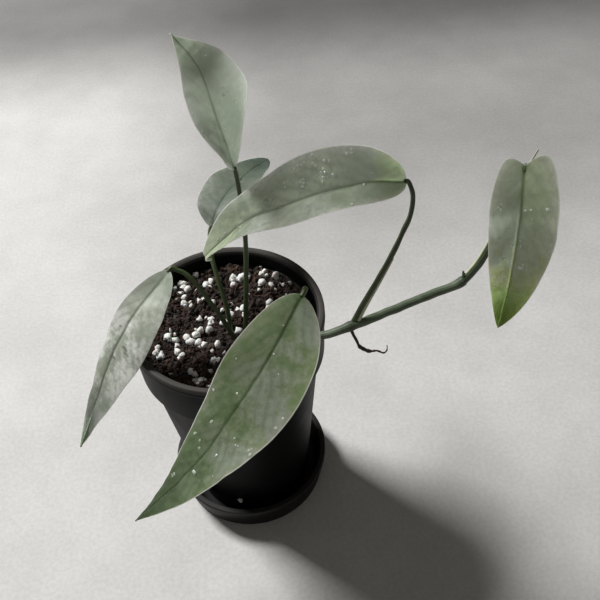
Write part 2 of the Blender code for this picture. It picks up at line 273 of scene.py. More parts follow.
class ShaderTree:
    """A material's node tree, with short calls for the nodes that the finishes share."""

    def __init__(self, name: str) -> None:
        """Starts a material of this name with one Principled shader."""
        self.material = bpy.data.materials.new(name)
        self.material.use_nodes = True
        self.nodes = self.material.node_tree.nodes
        self.links = self.material.node_tree.links
        self.shader = self.nodes["Principled BSDF"]

    def node(self, kind: str, **settings: object) -> bpy.types.Node:
        """A new node of this kind with its properties set."""
        made = self.nodes.new(kind)
        for key, value in settings.items():
            setattr(made, key, value)
        return made

    def join(self, source: object, target: Socket) -> None:
        """Feeds a socket from another socket, or sets it to a plain value."""
        if isinstance(source, Socket):
            self.links.new(source, target)
        else:
            target.default_value = source

    def attribute(self, name: str) -> Socket:
        """The number stored on the mesh under this name."""
        return self.node("ShaderNodeAttribute", attribute_name=name).outputs["Fac"]

    def place(self) -> Socket:
        """The place on the object, in metres."""
        return self.node("ShaderNodeTexCoord").outputs["Object"]

    def axes(self) -> bpy.types.bpy_prop_collection:
        """The place on the object as its separate X, Y and Z sockets."""
        made = self.node("ShaderNodeSeparateXYZ")
        self.join(self.place(), made.inputs[0])
        return made.outputs

    def noise(self, noise: Noise) -> Socket:
        """This noise, from 0 to 1, over the object.

        Args:
            noise: Its scale, octaves and roughness.

        Returns:
            The noise's socket.
        """
        made = self.node("ShaderNodeTexNoise")
        self.join(self.place(), made.inputs["Vector"])
        made.inputs["Scale"].default_value = noise.scale
        made.inputs["Detail"].default_value = noise.detail
        made.inputs["Roughness"].default_value = noise.roughness
        return made.outputs["Fac"]

    def cells(self, scale: float) -> Socket:
        """The distance to the middle of the nearest cell, with this many cells to a metre."""
        made = self.node("ShaderNodeTexVoronoi")
        self.join(self.place(), made.inputs["Vector"])
        made.inputs["Scale"].default_value = scale
        return made.outputs["Distance"]

    def maths(self, operation: str, a: Socket | float, b: Socket | float = 0.0, clamp: bool = False) -> Socket:
        """One sum of two values.

        Args:
            operation: The node's operation.
            a: The first value or socket.
            b: The second value or socket.
            clamp: Whether the result is kept between 0 and 1.

        Returns:
            The result's socket.
        """
        made = self.node("ShaderNodeMath", operation=operation, use_clamp=clamp)
        self.join(a, made.inputs[0])
        self.join(b, made.inputs[1])
        return made.outputs[0]

    def times(self, a: Socket | float, b: Socket | float, clamp: bool = False) -> Socket:
        """The product of two values."""
        return self.maths("MULTIPLY", a, b, clamp)

    def step(self, value: Socket, step: Step) -> Socket:
        """The value taken through this smooth step.

        Args:
            value: The value.
            step: Its limits and what it becomes at them.

        Returns:
            The result's socket.
        """
        made = self.node("ShaderNodeMapRange", interpolation_type="SMOOTHSTEP")
        self.join(value, made.inputs["Value"])
        made.inputs["From Min"].default_value = step.low
        made.inputs["From Max"].default_value = step.high
        made.inputs["To Min"].default_value = step.to_low
        made.inputs["To Max"].default_value = step.to_high
        return made.outputs["Result"]

    def blend(
        self, share: Socket | float, first: Socket | Colour, second: Socket | Colour, mode: str = "MIX"
    ) -> Socket:
        """One colour laid over another.

        Args:
            share: How much of the second colour shows.
            first: The colour below.
            second: The colour above.
            mode: The node's way of blending.

        Returns:
            The blended colour's socket.
        """
        made = self.node("ShaderNodeMix", data_type="RGBA", blend_type=mode)
        self.join(share, made.inputs["Factor"])
        inputs = [socket for socket in made.inputs if socket.type == "RGBA"]
        for source, socket in zip((first, second), inputs):
            self.join((*source, 1.0) if isinstance(source, tuple) else source, socket)
        return [socket for socket in made.outputs if socket.type == "RGBA"][0]

    def bump(self, height: Socket, distance: float, strength: float = 1.0) -> None:
        """Adds bumps to the shader's normal, over those it has.

        Args:
            height: The bumps' form, from 0 to 1.
            distance: Their height, in metres.
            strength: How strongly they show.
        """
        made = self.node("ShaderNodeBump")
        made.inputs["Strength"].default_value = strength
        made.inputs["Distance"].default_value = distance
        self.join(height, made.inputs["Height"])
        before = self.shader.inputs["Normal"].links
        if before:
            self.links.new(before[0].from_socket, made.inputs["Normal"])
        self.links.new(made.outputs["Normal"], self.shader.inputs["Normal"])

    def roughen(self, bumps: Bumps) -> None:
        """Adds these fine bumps to the shader's normal."""
        self.bump(self.noise(bumps.noise), bumps.height, bumps.strength)

    def set(self, **values: object) -> None:
        """Sets the shader's sockets; an underscore in a name stands for a space."""
        for key, value in values.items():
            socket = self.shader.inputs[key.replace("_", " ")]
            plain = socket.type == "RGBA" and isinstance(value, tuple)
            self.join((*value, 1.0) if plain else value, socket)


# Finishes


@dataclass(frozen=True)
class PotFinish:
    """Matte charcoal plastic, dusty and slightly scuffed, with a painted highlight that makes its lip paler.
    """

    name: str = "pot_plastic"
    colour: Colour = (0.0036, 0.0036, 0.0038)
    dust: Colour = (0.01, 0.0096, 0.0092)
    # Painted highlight: the paler colour along the top of the lip.
    lip: Colour = (0.06, 0.055, 0.051)
    lip_height: float = 139.0 * MM
    gloss: float = 0.06
    dust_share: float = 0.5
    clouds: Noise = Noise(38, 5, 0.6)
    specks: Noise = Noise(900, 2, 0.5)
    dusty_clouds: Step = Step(0.45, 0.8)
    dusty_specks: Step = Step(0.45, 0.75)
    roughness: Step = Step(0.3, 0.75, 0.46, 0.6)
    lip_highlight_fade: tuple[float, float] = (3.6 * MM, 0.6 * MM)
    grain: Bumps = Bumps(Noise(1600, 2, 0.5), 0.00006, 0.5)

    def material(self) -> bpy.types.Material:
        """Builds the finish."""
        tree = ShaderTree(self.name)
        clouds = tree.noise(self.clouds)
        specks = tree.noise(self.specks)
        dusty = tree.times(tree.step(clouds, self.dusty_clouds), tree.step(specks, self.dusty_specks))
        base = tree.blend(tree.times(dusty, self.dust_share), self.colour, self.dust)
        # Painted highlight: the colour turns paler over the top few millimetres of the lip.
        start, end = (self.lip_height - below for below in self.lip_highlight_fade)
        lip = tree.step(tree.axes()["Z"], Step(start, end))
        tree.set(Base_Color=tree.blend(lip, base, self.lip))
        tree.set(Roughness=tree.step(clouds, self.roughness))
        tree.set(Specular_IOR_Level=self.gloss)
        tree.roughen(self.grain)
        return tree.material


@dataclass(frozen=True)
class SoilFinish:
    """Damp dark potting mix."""

    name: str = "potting_mix"
    dark: Colour = (0.006, 0.0045, 0.004)
    brown: Colour = (0.035, 0.02, 0.014)
    coarse: Noise = Noise(420, 6, 0.65)
    fine: Noise = Noise(1500, 4, 0.6)
    patches: Step = Step(0.16, 0.42)
    roughness: float = 0.85
    gloss: float = 0.3
    bump_height: float = 0.0006
    bump_strength: float = 0.9

    def material(self) -> bpy.types.Material:
        """Builds the finish."""
        tree = ShaderTree(self.name)
        coarse = tree.noise(self.coarse)
        fine = tree.noise(self.fine)
        patches = tree.step(tree.times(coarse, fine), self.patches)
        tree.set(Base_Color=tree.blend(patches, self.dark, self.brown))
        tree.set(Roughness=self.roughness, Specular_IOR_Level=self.gloss)
        tree.bump(fine, self.bump_height, self.bump_strength)
        return tree.material


@dataclass(frozen=True)
class CrumbFinish:
    """Bark crumbs and coir fibres, each a little different in colour."""

    name: str
    dark: Colour
    light: Colour
    roughness: float = 0.8
    gloss: float = 0.35
    patches: Noise = Noise(160, 3, 0.6)
    patch_edge: Step = Step(0.35, 0.65)
    grain: Bumps = Bumps(Noise(2200, 3, 0.6), 0.0003, 0.6)

    def material(self) -> bpy.types.Material:
        """Builds the finish."""
        tree = ShaderTree(self.name)
        patches = tree.step(tree.noise(self.patches), self.patch_edge)
        tree.set(Base_Color=tree.blend(patches, self.dark, self.light))
        tree.set(Roughness=self.roughness, Specular_IOR_Level=self.gloss)
        tree.roughen(self.grain)
        return tree.material


@dataclass(frozen=True)
class PerliteFinish:
    """White expanded perlite with small pores."""

    name: str = "perlite"
    white: Colour = (0.78, 0.77, 0.74)
    shade: Colour = (0.42, 0.39, 0.35)
    stain: Noise = Noise(230, 4, 0.6)
    stain_edge: Step = Step(0.55, 0.8)
    stain_share: float = 0.55
    pore_scale: float = 1700
    pore_edge: Step = Step(0.12, 0.5)
    pore_depth: float = 0.00035
    pore_strength: float = 0.8
    roughness: float = 0.8
    gloss: float = 0.35
    glow: float = 0.12
    glow_depth: float = 1.0 * MM

    def material(self) -> bpy.types.Material:
        """Builds the finish."""
        tree = ShaderTree(self.name)
        stain = tree.step(tree.noise(self.stain), self.stain_edge)
        pores = tree.step(tree.cells(self.pore_scale), self.pore_edge)
        tree.set(Base_Color=tree.blend(tree.times(stain, self.stain_share), self.white, self.shade))
        tree.set(Roughness=self.roughness, Specular_IOR_Level=self.gloss)
        tree.set(Subsurface_Weight=self.glow, Subsurface_Scale=self.glow_depth)
        tree.bump(pores, self.pore_depth, self.pore_strength)
        return tree.material


@dataclass(frozen=True)
class StemFinish:
    """A green stem, lighter or browner by patches, with fine lengthwise ridges."""

    name: str
    colour: Colour
    patch: Colour
    end: Colour
    roughness: float = 0.42
    gloss: float = 0.45
    patches: Noise = Noise(130, 4, 0.6)
    patch_edge: Step = Step(0.42, 0.7)
    glow: float = 0.06
    glow_depth: float = 2.0 * MM
    ridges: int = 11
    ridge_height: float = 0.00005
    ridge_strength: float = 0.5
    grain: Bumps = Bumps(Noise(1200, 3, 0.6), 0.00008, 0.5)

    def material(self) -> bpy.types.Material:
        """Builds the finish."""
        tree = ShaderTree(self.name)
        patches = tree.step(tree.noise(self.patches), self.patch_edge)
        base = tree.blend(patches, self.colour, self.patch)
        base = tree.blend(tree.attribute("end_tone"), base, self.end)
        tree.set(Base_Color=base, Roughness=self.roughness, Specular_IOR_Level=self.gloss)
        tree.set(Subsurface_Weight=self.glow, Subsurface_Scale=self.glow_depth)
        ridges = tree.maths("SINE", tree.times(tree.attribute("around"), 2 * math.pi * self.ridges))
        tree.bump(ridges, self.ridge_height, self.ridge_strength)
        tree.roughen(self.grain)
        return tree.material


@dataclass(frozen=True)
class LeafTone:
    """One blade's colours, set lighter or darker as painted light and shade for where the blade hangs, and how
    strongly they show.
    """

    green: Colour
    deep: Colour
    silver: Colour
    # Painted light and shade towards the tip: the tip colour is lighter on lit blades and darker on shaded
    # ones.
    painted_tip: Colour
    silver_share: float = 0.5
    painted_tip_start: float = 0.6
    roughness: float = 0.45
    side_bias: float = 0.0
    vein_share: float = 0.16
    silver_start: float = -0.25
    translucency: float = 0.85


@dataclass(frozen=True)
class LeafFinish:
    """A satin blade: dark midrib, side veins, silver between them, and a thin painted highlight along the
    margin.
    """

    name: str
    tone: LeafTone
    # Painted highlight: the pale colour of the thin band along the margin.
    margin: Colour = (0.34, 0.36, 0.24)
    under: Colour = (0.17, 0.22, 0.14)
    scar: Colour = (0.05, 0.055, 0.035)
    clouds: Noise = Noise(70, 5, 0.62)
    grain: Noise = Noise(420, 4, 0.6)
    flecks: Noise = Noise(2600, 2, 0.5)
    vein_waver: float = 0.12
    vein_fade: Step = Step(0.6, 0.95, 1.0, 0.1)
    vein_line: Step = Step(0.0, 0.1, 1.0, 0.0)
    between_veins: Step = Step(0.08, 0.4)
    deep_patches: Step = Step(0.35, 0.7)
    silver_grain: float = 0.35
    silver_patches: Step = Step(0.5, 0.86)
    silver_gain: float = 1.8
    silver_rise: tuple[float, float] = (-0.1, 0.25)
    stripe_share: float = 0.3
    bias_reach: float = 0.25
    rib_share: float = 0.75
    fleck_light: Step = Step(0.35, 0.75, 0.92, 1.08)
    scar_grain: Step = Step(0.3, 0.6)
    scar_edge: Step = Step(0.15, 0.6, 0.0, 0.8)
    margin_highlight_edge: Step = Step(0.965, 0.992, 0.0, 0.75)
    under_share: float = 0.8
    gloss: float = 0.26
    sheen: float = 0.06
    sheen_roughness: float = 0.5
    glow_depth: float = 8.0 * MM
    glow_tint: Colour = (0.9, 1.0, 0.85)
    coarse_bumps: Bumps = Bumps(Noise(900, 3, 0.55), 0.00012, 0.5)
    fine_bumps: Bumps = Bumps(Noise(3800, 2, 0.5), 0.00004, 0.6)

    def material(self) -> bpy.types.Material:
        """Builds the finish."""
        tone = self.tone
        tree = ShaderTree(self.name)
        along = tree.attribute("along")
        across = tree.attribute("across")
        rib = tree.attribute("rib")
        side = tree.maths("ABSOLUTE", across)
        clouds = tree.noise(self.clouds)
        grain = tree.noise(self.grain)
        phase = tree.maths("ADD", tree.attribute("vein_phase"), tree.times(grain, self.vein_waver))
        away = tree.maths("PINGPONG", phase, 0.5)
        fade = tree.step(side, self.vein_fade)
        vein = tree.times(tree.step(away, self.vein_line), fade)
        between = tree.step(away, self.between_veins)
        base = tree.blend(tree.step(clouds, self.deep_patches), tone.green, tone.deep)
        base = tree.blend(self.silvering(tree, along, across, clouds, grain, between), base, tone.silver)
        # Painted light and shade: the blade's colour turns to its tip colour towards the tip.
        base = tree.blend(tree.step(along, Step(tone.painted_tip_start, 1.0)), base, tone.painted_tip)
        base = tree.blend(tree.times(vein, tone.vein_share), base, tone.deep)
        base = tree.blend(tree.times(rib, self.rib_share), base, tone.deep)
        flecks = tree.step(tree.noise(self.flecks), self.fleck_light)
        base = tree.blend(1.0, base, flecks, "MULTIPLY")
        scar = tree.times(tree.attribute("scar"), tree.step(grain, self.scar_grain))
        base = tree.blend(tree.step(scar, self.scar_edge), base, self.scar)
        # Painted highlight: a thin pale band along the margin.
        base = tree.blend(tree.step(side, self.margin_highlight_edge), base, self.margin)
        base = tree.blend(tree.times(tree.attribute("underside"), self.under_share), base, self.under)
        tree.set(Base_Color=base)
        self.surface(tree, grain)
        return tree.material

    def silvering(
        self, tree: ShaderTree, along: Socket, across: Socket, clouds: Socket, grain: Socket, between: Socket
    ) -> Socket:
        """How much the silver shows.

        Args:
            tree: The finish's tree.
            along: The share of the blade's length.
            across: The place across the blade, from -1 to 1.
            clouds: The large patches.
            grain: The small patches.
            between: How far between two side veins the place is.

        Returns:
            The silver's share, from 0 to 1.
        """
        tone = self.tone
        mottle = tree.maths("ADD", clouds, tree.times(grain, self.silver_grain))
        patch = tree.step(mottle, self.silver_patches)
        stripes = tree.maths("ADD", tree.times(between, self.stripe_share), 1 - self.stripe_share)
        left, right = 1.0 - max(tone.side_bias, 0), 1.0 + min(tone.side_bias, 0)
        bias = tree.step(across, Step(-self.bias_reach, self.bias_reach, left, right))
        silver = tree.times(tree.times(patch, stripes), bias)
        start, end = (tone.silver_start + rise for rise in self.silver_rise)
        silver = tree.times(silver, tree.step(along, Step(start, end)))
        return tree.times(silver, tone.silver_share * self.silver_gain, clamp=True)

    def surface(self, tree: ShaderTree, grain: Socket) -> None:
        """Sets the blade's satin, its glow against the light and its fine bumps.

        Args:
            tree: The finish's tree.
            grain: The small patches.
        """
        rough = self.tone.roughness
        tree.set(Roughness=tree.step(grain, Step(0.3, 0.7, rough - 0.05, rough + 0.09)))
        tree.set(Specular_IOR_Level=self.gloss, Sheen_Weight=self.sheen, Sheen_Roughness=self.sheen_roughness)
        tree.set(Subsurface_Weight=self.tone.translucency, Subsurface_Scale=self.glow_depth)
        tree.set(Subsurface_Radius=self.glow_tint)
        tree.roughen(self.coarse_bumps)
        tree.roughen(self.fine_bumps)


@dataclass(frozen=True)
class WaterFinish:
    """Water, partly clear and partly near-white as a painted highlight that makes the beads glint."""

    name: str = "water_bead"
    # Painted highlight: the part of each bead that is not clear is near-white, so the beads glint.
    colour: Colour = (0.9, 0.95, 0.9)
    clouds: Noise = Noise(300, 2, 0.5)
    roughness: Step = Step(0.3, 0.7, 0.03, 0.09)
    bending: float = 1.36
    clearness: float = 0.72

    def material(self) -> bpy.types.Material:
        """Builds the finish."""
        tree = ShaderTree(self.name)
        shade = tree.step(tree.noise(self.clouds), self.roughness)
        tree.set(Base_Color=self.colour, Roughness=shade, IOR=self.bending)
        tree.set(Transmission_Weight=self.clearness)
        return tree.material


@dataclass(frozen=True)
class FloorFinish:
    """Pale smooth concrete, with painted shade: darker far off, and behind the pot on its right."""

    name: str = "pale_floor"
    pale: Colour = (0.56, 0.55, 0.535)
    grey: Colour = (0.49, 0.48, 0.465)
    clouds: Noise = Noise(14, 7, 0.62)
    cloud_edge: Step = Step(0.3, 0.7)
    specks: Noise = Noise(420, 3, 0.6)
    speck_light: Step = Step(0.3, 0.7, 0.93, 1.04)
    # Painted shade: the floor's colour darkens far off, and behind the pot on its right.
    far: Step = Step(0.39, 0.57, 1.0, 0.33)
    right: Step = Step(-0.15, 0.05)
    behind: Step = Step(0.06, 0.33)
    painted_shade_depth: float = 0.42
    roughness: float = 0.62
    gloss: float = 0.25

    def material(self) -> bpy.types.Material:
        """Builds the finish."""
        tree = ShaderTree(self.name)
        clouds = tree.noise(self.clouds)
        specks = tree.step(tree.noise(self.specks), self.speck_light)
        base = tree.blend(tree.step(clouds, self.cloud_edge), self.pale, self.grey)
        base = tree.blend(1.0, base, specks, "MULTIPLY")
        # Painted shade, laid over the floor's colour far off and behind the pot on its right.
        axes = tree.axes()
        far = tree.step(axes["Y"], self.far)
        right = tree.step(axes["X"], self.right)
        behind = tree.step(axes["Y"], self.behind)
        painted_shade = tree.maths("SUBTRACT", 1.0, tree.times(tree.times(right, behind), self.painted_shade_depth))
        base = tree.blend(1.0, base, tree.times(far, painted_shade), "MULTIPLY")
        tree.set(Base_Color=base, Roughness=self.roughness, Specular_IOR_Level=self.gloss)
        return tree.material


# Turned pieces


def turned(
    name: str, profile: Sequence[tuple[float, float]], material: bpy.types.Material, steps: int = 160
) -> bpy.types.Object:
    """A closed shape turned about Z.

    Args:
        name: The object's name.
        profile: (radius, height) points running down the outer side and back up the inner one. A
            profile that starts and ends on the axis is closed there, and any other is a closed ring.
        material: Its finish.
        steps: The number of steps round.

    Returns:
        The object.
    """
    on_axis = profile[0][0] < 1e-6
    rings = profile[1:-1] if on_axis else profile
    count = len(rings)
    angles = np.arange(steps) * 2 * math.pi / steps
    ring = np.stack([np.cos(angles), np.sin(angles)], axis=1)
    vertices = [np.column_stack([ring * r, np.full(steps, z)]) for r, z in rings]
    faces = grid_faces(count, steps, True, flip=True)
    last = (count - 1) * steps
    if on_axis:
        top, foot = count * steps, count * steps + 1
        vertices.append(np.array([[0, 0, profile[0][1]], [0, 0, profile[-1][1]]]))
    for j in range(steps):
        k = (j + 1) % steps
        if on_axis:
            faces.append((top, j, k))
            faces.append((foot, last + k, last + j))
        else:
            faces.append((last + k, k, j, last + j))
    return mesh_object(name, np.vstack(vertices), faces, material)


def rounded(profile: Sequence[tuple[float, float, float]], steps: int = 5) -> list[tuple[float, float]]:
    """Rounds the corners of a profile.

    Args:
        profile: (radius, height, rounding) for each corner.
        steps: The number of points round a corner.

    Returns:
        The rounded profile's points.
    """
    most = 0.45
    points: list[tuple[float, float]] = []
    for i, (r, z, turn) in enumerate(profile):
        here = np.array([r, z])
        if turn <= 0:
            points.append((r, z))
            continue
        before = np.array(profile[i - 1][:2]) - here
        after = np.array(profile[(i + 1) % len(profile)][:2]) - here
        reach = min(turn, most * np.linalg.norm(before), most * np.linalg.norm(after))
        start, end = here + unit(before) * reach, here + unit(after) * reach
        for j in range(steps + 1):
            t = j / steps
            spot = start * (1 - t) ** 2 + here * 2 * t * (1 - t) + end * t**2
            points.append((float(spot[0]), float(spot[1])))
    return points


@dataclass
class Saucer:
    """The round saucer with its flared wall."""

    foot_radius: float = 41.0 * MM
    lip_radius: float = 45.0 * MM
    height: float = 19.0 * MM
    floor: float = 3.0 * MM
    wall: float = 3.4 * MM
    foot_wall: float = 2.5 * MM
    # The saucer's paler lip colour is a painted highlight along its edge.
    finish: PotFinish = PotFinish(
        "saucer_plastic", lip=(0.02, 0.019, 0.018), lip_height=19.0 * MM, gloss=0.15
    )

    def profile(self) -> list[tuple[float, float, float]]:
        """Each corner's radius, height and rounding, from the middle of the floor to that of the underside."""
        lip_inner = self.lip_radius - self.wall
        floor_inner = self.foot_radius - self.foot_wall
        return [
            (0.0, self.floor, 0),
            (floor_inner * 0.5, self.floor, 0),
            (floor_inner, self.floor, 2.2 * MM),
            (lip_inner, self.height - 0.4 * MM, 0.9 * MM),
            (lip_inner + 0.5 * MM, self.height, 0.5 * MM),
            (self.lip_radius - 0.2 * MM, self.height, 1.0 * MM),
            (self.lip_radius, self.height - 1.4 * MM, 0.6 * MM),
            (self.foot_radius + 0.4 * MM, 0.8 * MM, 0.8 * MM),
            (self.foot_radius - 1.0 * MM, 0.0, 0.6 * MM),
            (self.foot_radius * 0.5, 0.0, 0),
            (0.0, 0.0, 0),
        ]

    def build(self) -> bpy.types.Object:
        """Turns the saucer and dresses it."""
        made = turned("saucer_body", rounded(self.profile()), self.finish.material())
        return publish(made, Slot.POT, "saucer")


@dataclass
class Pot:
    """The tall tapered pot with its collar."""

    rim_radius: float = 50.0 * MM
    rim_height: float = 139.0 * MM
    lip: float = 3.6 * MM
    collar_bottom: float = 112.0 * MM
    collar_radius: float = 48.6 * MM
    body_top_radius: float = 45.6 * MM
    foot: float = 3.3 * MM
    foot_radius: float = 33.0 * MM
    inner_foot_radius: float = 30.0 * MM
    floor: float = 7.8 * MM
    drain_radius: float = 6.0 * MM
    finish: PotFinish = PotFinish()

    def inner_radius(self, height: float) -> float:
        """The inner wall's radius at this height."""
        rise = (height - self.floor) / (self.rim_height - self.floor)
        return self.inner_foot_radius + (self.rim_radius - self.lip - self.inner_foot_radius) * rise

    def profile(self) -> list[tuple[float, float, float]]:
        """Each corner's radius, height and rounding, down the outside and back up the inside."""
        top_inner = self.rim_radius - self.lip
        below_lip = self.rim_height - 1.2 * MM
        return [
            (top_inner + 0.9 * MM, self.rim_height, 0.9 * MM),
            (self.rim_radius - 0.1 * MM, self.rim_height, 1.1 * MM),
            (self.rim_radius, self.rim_height - 4.5 * MM, 0.6 * MM),
            (self.rim_radius - 0.5 * MM, self.rim_height - 5.2 * MM, 0.4 * MM),
            (self.collar_radius, self.collar_bottom + 0.6 * MM, 1.0 * MM),
            (self.collar_radius - 1.0 * MM, self.collar_bottom, 0.6 * MM),
            (self.body_top_radius, self.collar_bottom - 0.3 * MM, 1.4 * MM),
            (self.foot_radius, self.foot + 0.5 * MM, 1.2 * MM),
            (self.foot_radius - 1.2 * MM, self.foot, 0.5 * MM),
            (self.drain_radius, self.foot, 0.3 * MM),
            (self.drain_radius, self.floor, 0.5 * MM),
            (self.inner_foot_radius, self.floor, 1.5 * MM),
            (self.inner_radius(below_lip), below_lip, 0.6 * MM),
        ]

    def build(self) -> bpy.types.Object:
        """Turns the pot and dresses it."""
        made = turned("pot_body", rounded(self.profile()), self.finish.material())
        return publish(made, Slot.POT, "pot")


# Stems


@dataclass
class Stem:
    """A stem, root or shoot swept along its route, with its own radius along the way."""

    name: str
    route: list[Point]
    radius: float
    tip_share: float
    finish: StemFinish
    slot: Slot = Slot.STEM
    nodes: tuple[str, ...] = ()
    depth: float = 0.0
    blade: str | None = None
    reach: float = 0.0
    swells: tuple[tuple[float, float, float], ...] = ()
    crook: float = 0.0
    groove: float = 0.0
    sink: float = 0.0
    knobs: float = 0.0
    seed: int = 1
    sides: int = 20
    spacing: float = 0.7 * MM

    fewest_rows = 24
    crook_length = 9 * MM
    uneven_length = 7 * MM
    unevenness = 0.03
    knob_length = 2.2 * MM
    knob_share = 0.35
    groove_width = 0.5
    end_rounding = 1.6
    least_end = 0.12
    ring_tone = 0.7
    tone_start = 0.82
    joint_tone = 0.9

    def points(self, blades: dict[str, "Blade"]) -> np.ndarray:
        """The route in metres, run on to its blade where it has one.

        Args:
            blades: Every blade by name.

        Returns:
            The route's points.
        """
        points = [np.array(p, float) * MM for p in self.route]
        if self.depth or self.sink:
            first = unit(points[0] - points[1])
            points.insert(0, points[0] + first * (self.depth + self.sink))
        if self.blade:
            points += blades[self.blade].seat(self.reach)
        return np.array(points)

    def build(self, blades: dict[str, "Blade"]) -> bpy.types.Object:
        """Sweeps the stem and dresses it.

        Args:
            blades: Every blade by name, for the stems that run on to one.

        Returns:
            The piece.
        """
        points = self.points(blades)
        length = np.linalg.norm(np.diff(points, axis=0), axis=1).sum()
        rows = max(self.fewest_rows, round(length / self.spacing))
        line = np.array([spline_point(points, i / (rows - 1)) for i in range(rows)])
        travelled = np.concatenate([[0], np.cumsum(np.linalg.norm(np.diff(line, axis=0), axis=1))])
        line = line + self.wander(line, travelled)
        count = rows * self.sides
        vertices = np.vstack([self.skin(line, travelled), line[0], line[-1]])
        faces = grid_faces(rows, self.sides, True)
        faces += cap_faces(self.sides, count, count + 1, count - self.sides)
        made = mesh_object(self.name, vertices, faces, self.finish.material())
        around = np.append(np.tile(np.arange(self.sides) / self.sides, rows), [0, 0])
        share = np.append(np.repeat(travelled / travelled[-1], self.sides), [0, 1])
        add_attribute(made, "around", around)
        add_attribute(made, "end_tone", self.end_tone(share, share * travelled[-1]))
        return publish(made, self.slot, *self.nodes)

    def end_tone(self, share: np.ndarray, travelled: np.ndarray) -> np.ndarray:
        """How far the colour has turned to the end's, or to a node's, along the stem.

        Args:
            share: The share of the length at each place.
            travelled: The length run at each place, in metres.

        Returns:
            The tone, from 0 to 1.
        """
        if self.swells:
            return sum(bell(travelled - at * MM, self.ring_tone * width * MM) for at, width, _ in self.swells)
        return smooth(self.tone_start, 1.0, share) * (self.joint_tone if self.blade else 1.0)

    def wander(self, line: np.ndarray, travelled: np.ndarray) -> np.ndarray:
        """A small sideways unevenness of the route, none at its ends."""
        if not self.crook:
            return np.zeros_like(line)
        ease = np.sin(math.pi * travelled / travelled[-1])[:, None] ** 0.5
        shift = [Waves(self.seed + axis, self.crook_length, 6).at(line) for axis in range(3)]
        return np.stack(shift, axis=1) * self.crook * ease

    def thickness(self, line: np.ndarray, travelled: np.ndarray) -> np.ndarray:
        """The radius along the stem, with its taper, nodes, rounded ends and knobs.

        Args:
            line: The route's points.
            travelled: The length run at each of them.

        Returns:
            The radius at each point, in metres.
        """
        share = travelled / travelled[-1]
        radius = self.radius * (1 + (self.tip_share - 1) * share)
        for place, width, more in self.swells:
            radius = radius * (1 + more * bell(travelled - place * MM, width * MM))
        to_end = np.minimum(travelled, travelled[-1] - travelled) / np.maximum(radius, 1e-6)
        closing = 1 - np.clip(to_end * self.end_rounding, 0, 1)
        radius = radius * np.sqrt(np.clip(1 - closing**2, self.least_end, 1))
        wave = 1 + self.unevenness * Waves(self.seed, self.uneven_length, 8).at(line)
        wave = wave + self.knobs * smooth(0.3, 0.42, share) * (1 - smooth(0.6, 0.7, share))
        knobs = Waves(self.seed + 1, self.knob_length, 8).at(line)
        wave = wave + self.knob_share * self.knobs * knobs * smooth(0.3, 0.4, share)
        return radius * wave

    def skin(self, line: np.ndarray, travelled: np.ndarray) -> np.ndarray:
        """The rings of vertices round the route.

        Args:
            line: The route's points.
            travelled: The length run at each of them.

        Returns:
            The vertices, ring by ring.
        """
        tangent = np.gradient(line, axis=0)
        tangent /= np.linalg.norm(tangent, axis=1)[:, None]
        normal = np.zeros_like(line)
        start = np.cross(tangent[0], [0.0, 1.0, 0.0])
        normal[0] = unit(start if np.linalg.norm(start) > 0.1 else np.cross(tangent[0], [1.0, 0.0, 0.0]))
        for i in range(1, len(line)):
            carried = normal[i - 1] - tangent[i] * normal[i - 1].dot(tangent[i])
            normal[i] = unit(carried)
        other = np.cross(tangent, normal)
        angles = np.arange(self.sides) * 2 * math.pi / self.sides
        cut = 1 - self.groove * bell(angles - math.pi / 2, self.groove_width)
        rings = []
        for i, radius in enumerate(self.thickness(line, travelled)):
            spokes = np.cos(angles)[:, None] * normal[i] + np.sin(angles)[:, None] * other[i]
            rings.append(line[i] + (radius * cut)[:, None] * spokes)
        return np.vstack(rings)


# Blades


